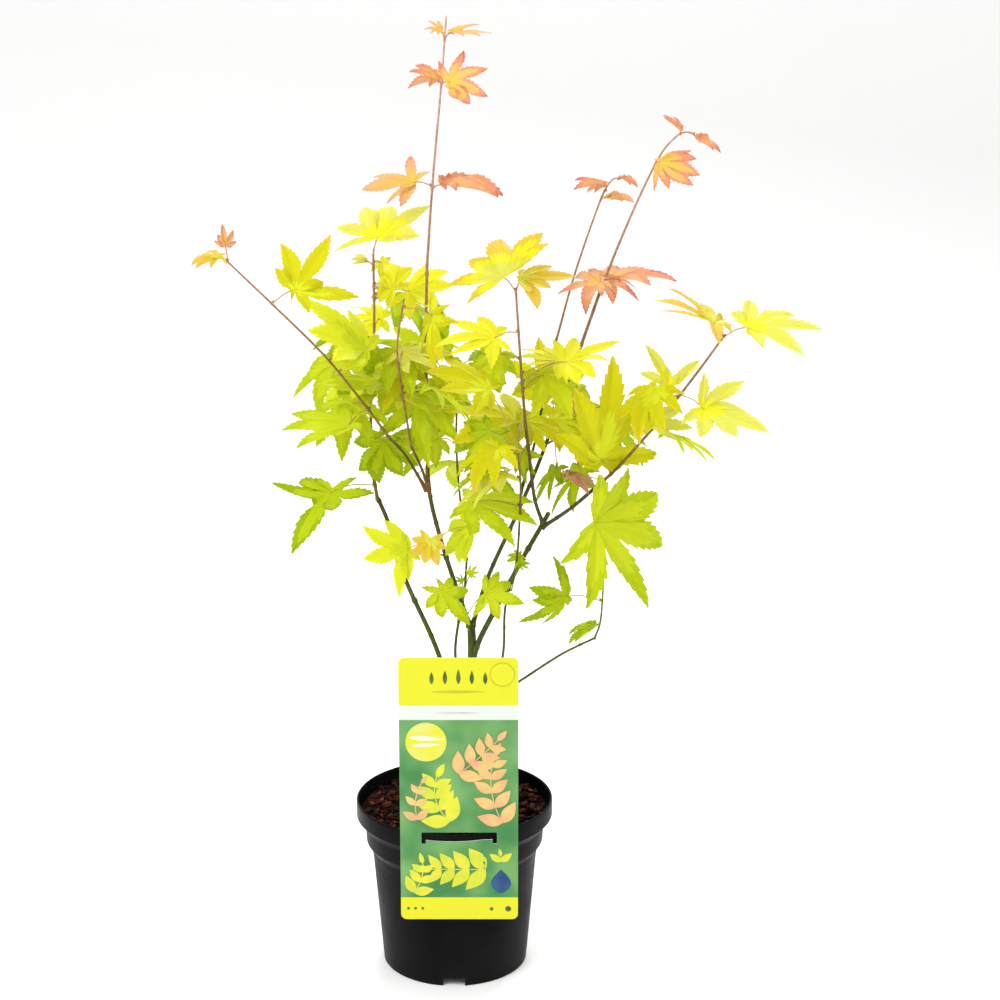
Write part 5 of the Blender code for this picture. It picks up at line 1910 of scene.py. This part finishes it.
@dataclass
class Crown:
    """The masses of leaves: shoots, leaf stalks, buds and leaves.

    A blade is seated where enough of its tips are near to its solid.  The
    habits of the seeded leaves are dealt out in turn.
    """

    plant: dict[str, bpy.types.Object]
    seat_gap: float = 0.4
    seat_tips: int = 5
    stalk_r: float = 0.46
    stalk_root: float = 0.55
    bud_r: float = 0.75
    bud_length: float = 3.2
    habits: tuple[Habit, ...] = (Habit.DEEP, Habit.LIMP, Habit.OPEN)
    shoot_finish: YoungBark = YoungBark(
        "shoot_skin", grain=1.2, stretch=4.0, patch=16.0, roughness=(0.34, 0.5), relief=0.05,
        specks=(0.55, 0.40, 0.20), stops=(
            (0.00, (0.13, 0.16, 0.020)), (0.22, (0.19, 0.155, 0.018)),
            (0.42, (0.27, 0.155, 0.030)), (0.62, (0.46, 0.22, 0.12)),
            (1.00, (0.72, 0.40, 0.32))))
    stalk_finish: YoungBark = YoungBark(
        "stalk_skin", grain=0.9, stretch=3.0, patch=30.0, roughness=(0.4, 0.5), relief=0.03,
        specks=(0.6, 0.5, 0.2), stops=(
            (0.00, (0.34, 0.42, 0.05)), (0.30, (0.48, 0.40, 0.07)),
            (0.55, (0.62, 0.34, 0.12)), (0.75, (0.66, 0.20, 0.12)),
            (1.00, (0.74, 0.25, 0.16))))

    def solid_tree(self, name: str) -> BVHTree:
        """Return a search tree of a CAD node's mesh, in metres.

        Args:
            name: the node's name.

        Returns:
            The tree.
        """
        mesh = self.plant[name].data
        points = np.empty(len(mesh.vertices) * 3)
        mesh.vertices.foreach_get("co", points)
        faces = [tuple(face.vertices) for face in mesh.polygons]
        return BVHTree.FromPolygons([Vector(p) for p in points.reshape(-1, 3)], faces)

    def seated(self, spots: list[Spot], tree: BVHTree) -> Spot | None:
        """Return the first place whose lobe tips lie on the mass's solid.

        Args:
            spots: the places, the first choice first.
            tree: of the mass's solid.

        Returns:
            The place, or None where no place is near enough.
        """
        turn, reach, _ = np.array(LeafPattern.lobes).T
        turn = np.radians(np.append(turn, -turn[1:]))
        reach = np.append(reach, reach[1:])
        tips = np.stack((reach * np.sin(turn), reach * np.cos(turn), -DROOP * reach ** 2), -1)
        for spot in spots:
            gaps = [tree.find_nearest(Vector(p * MM))[3] / MM for p in spot.at(tips)]
            if np.sum(np.array(gaps) < self.seat_gap) >= self.seat_tips:
                return spot
        return None

    def stalk(self, stem: Array, spot: Spot) -> Array:
        """Return a leaf stalk's middle line, from inside its stem.

        It leaves the point of the stem nearest to a place behind and below
        the blade, rises a little on its way, and ends just inside the blade.

        Args:
            stem: the points of its stem.
            spot: the blade's place.

        Returns:
            Points from inside the stem to the blade.
        """
        aim = spot.centre - spot.ahead * 4 - spot.up * 5
        start = stem[0] + unit(stem[1] - stem[0]) * ROOT_CLEAR
        line = np.vstack((start, stem[1:]))
        a, along = line[:-1], np.diff(line, axis=0)
        t = np.clip(((aim - a) * along).sum(1) / (along ** 2).sum(1), 0, 1)[:, None]
        near = a + along * t
        root = near[np.argmin(np.linalg.norm(near - aim, axis=1))]
        reach = spot.centre - root
        far = float(np.linalg.norm(reach))
        end = spot.centre + spot.ahead * 0.02 * spot.length - spot.up * 0.25
        return smooth_path((root, root + reach * 0.55 + (0, 0, 0.08 * far), end),
                           max(0.8, far / 14))

    def stalk_tube(self, path: Array) -> Shell:
        """Return a leaf stalk, thicker at its root and under its leaf.

        Args:
            path: its middle line.

        Returns:
            The closed stalk.
        """
        s = run_lengths(path)
        left = s[-1] - s
        radii = self.stalk_r + self.stalk_root * np.exp(-s / 1.6) + 0.10 * np.exp(-left / 1.5)
        return tube(path, radii * np.where(left < 0.2, 0.4, 1.0), 8)

    def bud(self, path: Array) -> Shell:
        """Return the small pointed bud over a stalk's root.

        Args:
            path: the stalk's middle line.

        Returns:
            The closed bud.
        """
        lead = unit(path[min(3, len(path) - 1)] - path[0])
        lean = unit(lead + np.array((0, 0, 1.2)))
        s = np.linspace(0, 1, 6)
        radii = self.bud_r * np.sin(math.pi * (0.12 + 0.88 * s)) ** 0.8 + 0.04
        return tube(path[0] + lead * 0.8 + lean * (s * self.bud_length)[:, None], radii, 8)

    def shoot(self, mass: Mass, roots: list[Array], seed: int) -> Shell:
        """Return a mass's stem, with a swelling at each stalk's root.

        Args:
            mass: the mass.
            roots: where its stalks start.
            seed: of its relief.

        Returns:
            The closed stem.
        """
        path = smooth_path(mass.knots, 1.2)
        first = path[0] - unit(path[1] - path[0]) * 0.9
        path = np.vstack((first, path))
        s = run_lengths(path)
        base = mass.root_r + (mass.tip_r - mass.root_r) * s / s[-1]
        radii = base + 0.5 * base * np.exp(-s / 1.8)
        for root in roots:
            gap = np.linalg.norm(path - root, axis=1)
            radii = radii + 0.30 * base * np.exp(-(gap / 1.6) ** 2)
        left = s[-1] - s
        radii = radii * np.sqrt(np.clip(1 - (1 - left / 1.5).clip(0, 1) ** 2, 0.02, 1))
        turn = ring(12)
        relief = 0.05 * waves(seed, np.cos(turn)[None] * 3, np.sin(turn)[None] * 3,
                              s[:, None] / 9)
        return tube(path, radii[:, None] + relief * (radii[:, None] > 0.3), 12)

    def build(self) -> None:
        """Grow every mass and hang its pieces on the plant."""
        templates = {habit: LeafPattern(*habit.value[:2]).template() for habit in Habit}
        finishes = [LeafTissue("leaf_" + shade.name.lower(), colour=shade.value).material()
                    for shade in Shade]
        shoots, stalks, buds, grown = [], [], [], 0
        for number, mass in enumerate(MASSES):
            tree = self.solid_tree(mass.name)
            stem = smooth_path(mass.knots, STEM_STEP)
            rows = [(blade, placed_spots(blade.row)) for blade in mass.blades]
            tints = mass.growth.tints
            rows += [(Blade(tints[i % len(tints)], (), (), self.habits[i % len(self.habits)]), spots)
                     for i, spots in enumerate(seeded_spots(mass, stem))]
            blades, roots = [], []
            for seed, (blade, spots) in enumerate(rows, 100 * number):
                spot = self.seated(spots, tree)
                if spot is None:
                    log.info("%s: blade %d has no solid", mass.name, seed % 100)
                    continue
                template = templates[blade.habit]
                spot = spot.behind(template.shaped(spot, seed, blade))
                blades.append(template.leaf(spot, seed, blade))
                path = self.stalk(stem, spot)
                roots.append(path[0])
                stalks.append(self.stalk_tube(path))
                buds.append(self.bud(path))
            grown += len(blades)
            piece = Shell.joined(blades).to_object(mass.name + "_blades", finishes, LEAF_SHARP, False)
            place(piece, "foliage", mass.name)
            shoots.append(self.shoot(mass, roots, number + STEM_SEED))
        blades = []
        for seed, (root, blade) in enumerate(SPROUTS, SPROUT_SEED):
            spot = placed_spots(blade.row)[0]
            blades.append(templates[blade.habit].leaf(spot, seed, blade))
            near = np.array(root) + ((0, 0, -7), (0, 0, 1))
            stalks.append(self.stalk_tube(self.stalk(near, spot)))
        place(Shell.joined(blades).to_object("sprout_blades", finishes, LEAF_SHARP, False), "foliage")
        names = [mass.name for mass in MASSES]
        shoot_skin, stalk_skin = self.shoot_finish.material(), self.stalk_finish.material()
        place(Shell.joined(shoots).to_object("leafy_shoots", [shoot_skin]), "foliage", *names)
        place(Shell.joined(stalks).to_object("leaf_stalks", [stalk_skin]), "foliage")
        place(Shell.joined(buds).to_object("side_buds", [shoot_skin]), "foliage")
        log.info("leaves: %d", grown)


# ---------------- the studio

@dataclass
class Studio:
    """A white sweep, soft lights and the camera."""

    eye: tuple[float, float, float] = (0.0396, -1.8, 0.9067)
    dip: float = 15.23
    lens: float = 80.064
    floor_half: float = 5.0
    floor_back: float = 2.6
    sweep_r: float = 1.2

    def sweep(self) -> None:
        """Lay the floor that curves up into a backdrop.

        Its section is flat, then a quarter circle, then upright.
        """
        bend = np.linspace(0, math.pi / 2, 25)
        y = np.concatenate((np.linspace(-4.5, self.floor_back, 12),
                            self.floor_back + self.sweep_r * np.sin(bend[1:]),
                            np.full(4, self.floor_back + self.sweep_r)))
        z = np.concatenate((np.zeros(12), self.sweep_r * (1 - np.cos(bend[1:])),
                            self.sweep_r + np.linspace(0.6, 3.4, 4)))
        x = np.linspace(-self.floor_half, self.floor_half, 9)
        points = np.stack(np.broadcast_arrays(x[None], y[:, None], z[:, None]), -1) / MM
        finish = PrintedCard("sweep_paper", grain=3.0, patch=400.0, roughness=(0.75, 0.85),
                             specular=0.2, ink=(0.98, 0.98, 0.975), drift=(0.985, 0.985, 0.98))
        floor = Shell.grid(points).to_object("studio_sweep", [finish.material()], 60.0, False)

    def light(self, name: str, place_m: tuple, aim_m: tuple, size: float,
              power: float) -> None:
        """Hang one soft box that looks at a place.

        Args:
            name: its name.
            place_m: where it hangs, in metres.
            aim_m: where it looks.
            size: its side in metres.
            power: in watts.
        """
        data = bpy.data.lights.new(name, "AREA")
        data.shape, data.size, data.energy = "SQUARE", size, power
        lamp = bpy.data.objects.new(name, data)
        lamp.location = place_m
        lamp.rotation_euler = (Vector(aim_m) - Vector(place_m)).to_track_quat(
            "-Z", "Y").to_euler()
        bpy.context.scene.collection.objects.link(lamp)

    def build(self) -> None:
        """Build the studio."""
        self.sweep()
        scene = bpy.context.scene
        world = bpy.data.worlds.new("soft_room")
        scene.world = world
        world.use_nodes = True
        room = world.node_tree.nodes["Background"]
        room.inputs["Color"].default_value = (1.0, 1.0, 1.0, 1.0)
        room.inputs["Strength"].default_value = 0.74
        self.light("key", (-1.3, -1.6, 2.1), (0.0, 0.0, 0.4), 1.4, 50.0)
        self.light("fill", (1.9, -1.1, 1.3), (0.0, 0.0, 0.4), 1.3, 13.0)
        self.light("back", (0.4, 1.6, 2.2), (0.0, 0.0, 0.5), 1.6, 44.0)
        data = bpy.data.cameras.new("camera")
        data.lens, data.sensor_width = self.lens, 36.0
        camera = bpy.data.objects.new("camera", data)
        camera.location = self.eye
        camera.rotation_euler = (math.radians(90 - self.dip), 0.0, 0.0)
        scene.collection.objects.link(camera)
        scene.camera = camera
        scene.view_settings.view_transform = "Standard"


def main() -> None:
    """Build the studio and dress every part of the plant."""
    logging.basicConfig(level=logging.INFO, format="%(message)s")
    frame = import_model()
    Studio().build()
    Pot().build()
    Compost().build()
    Tag().build()
    Frame().build()
    Crown(frame["nodes"]).build()


if __name__ == "__main__":
    main()
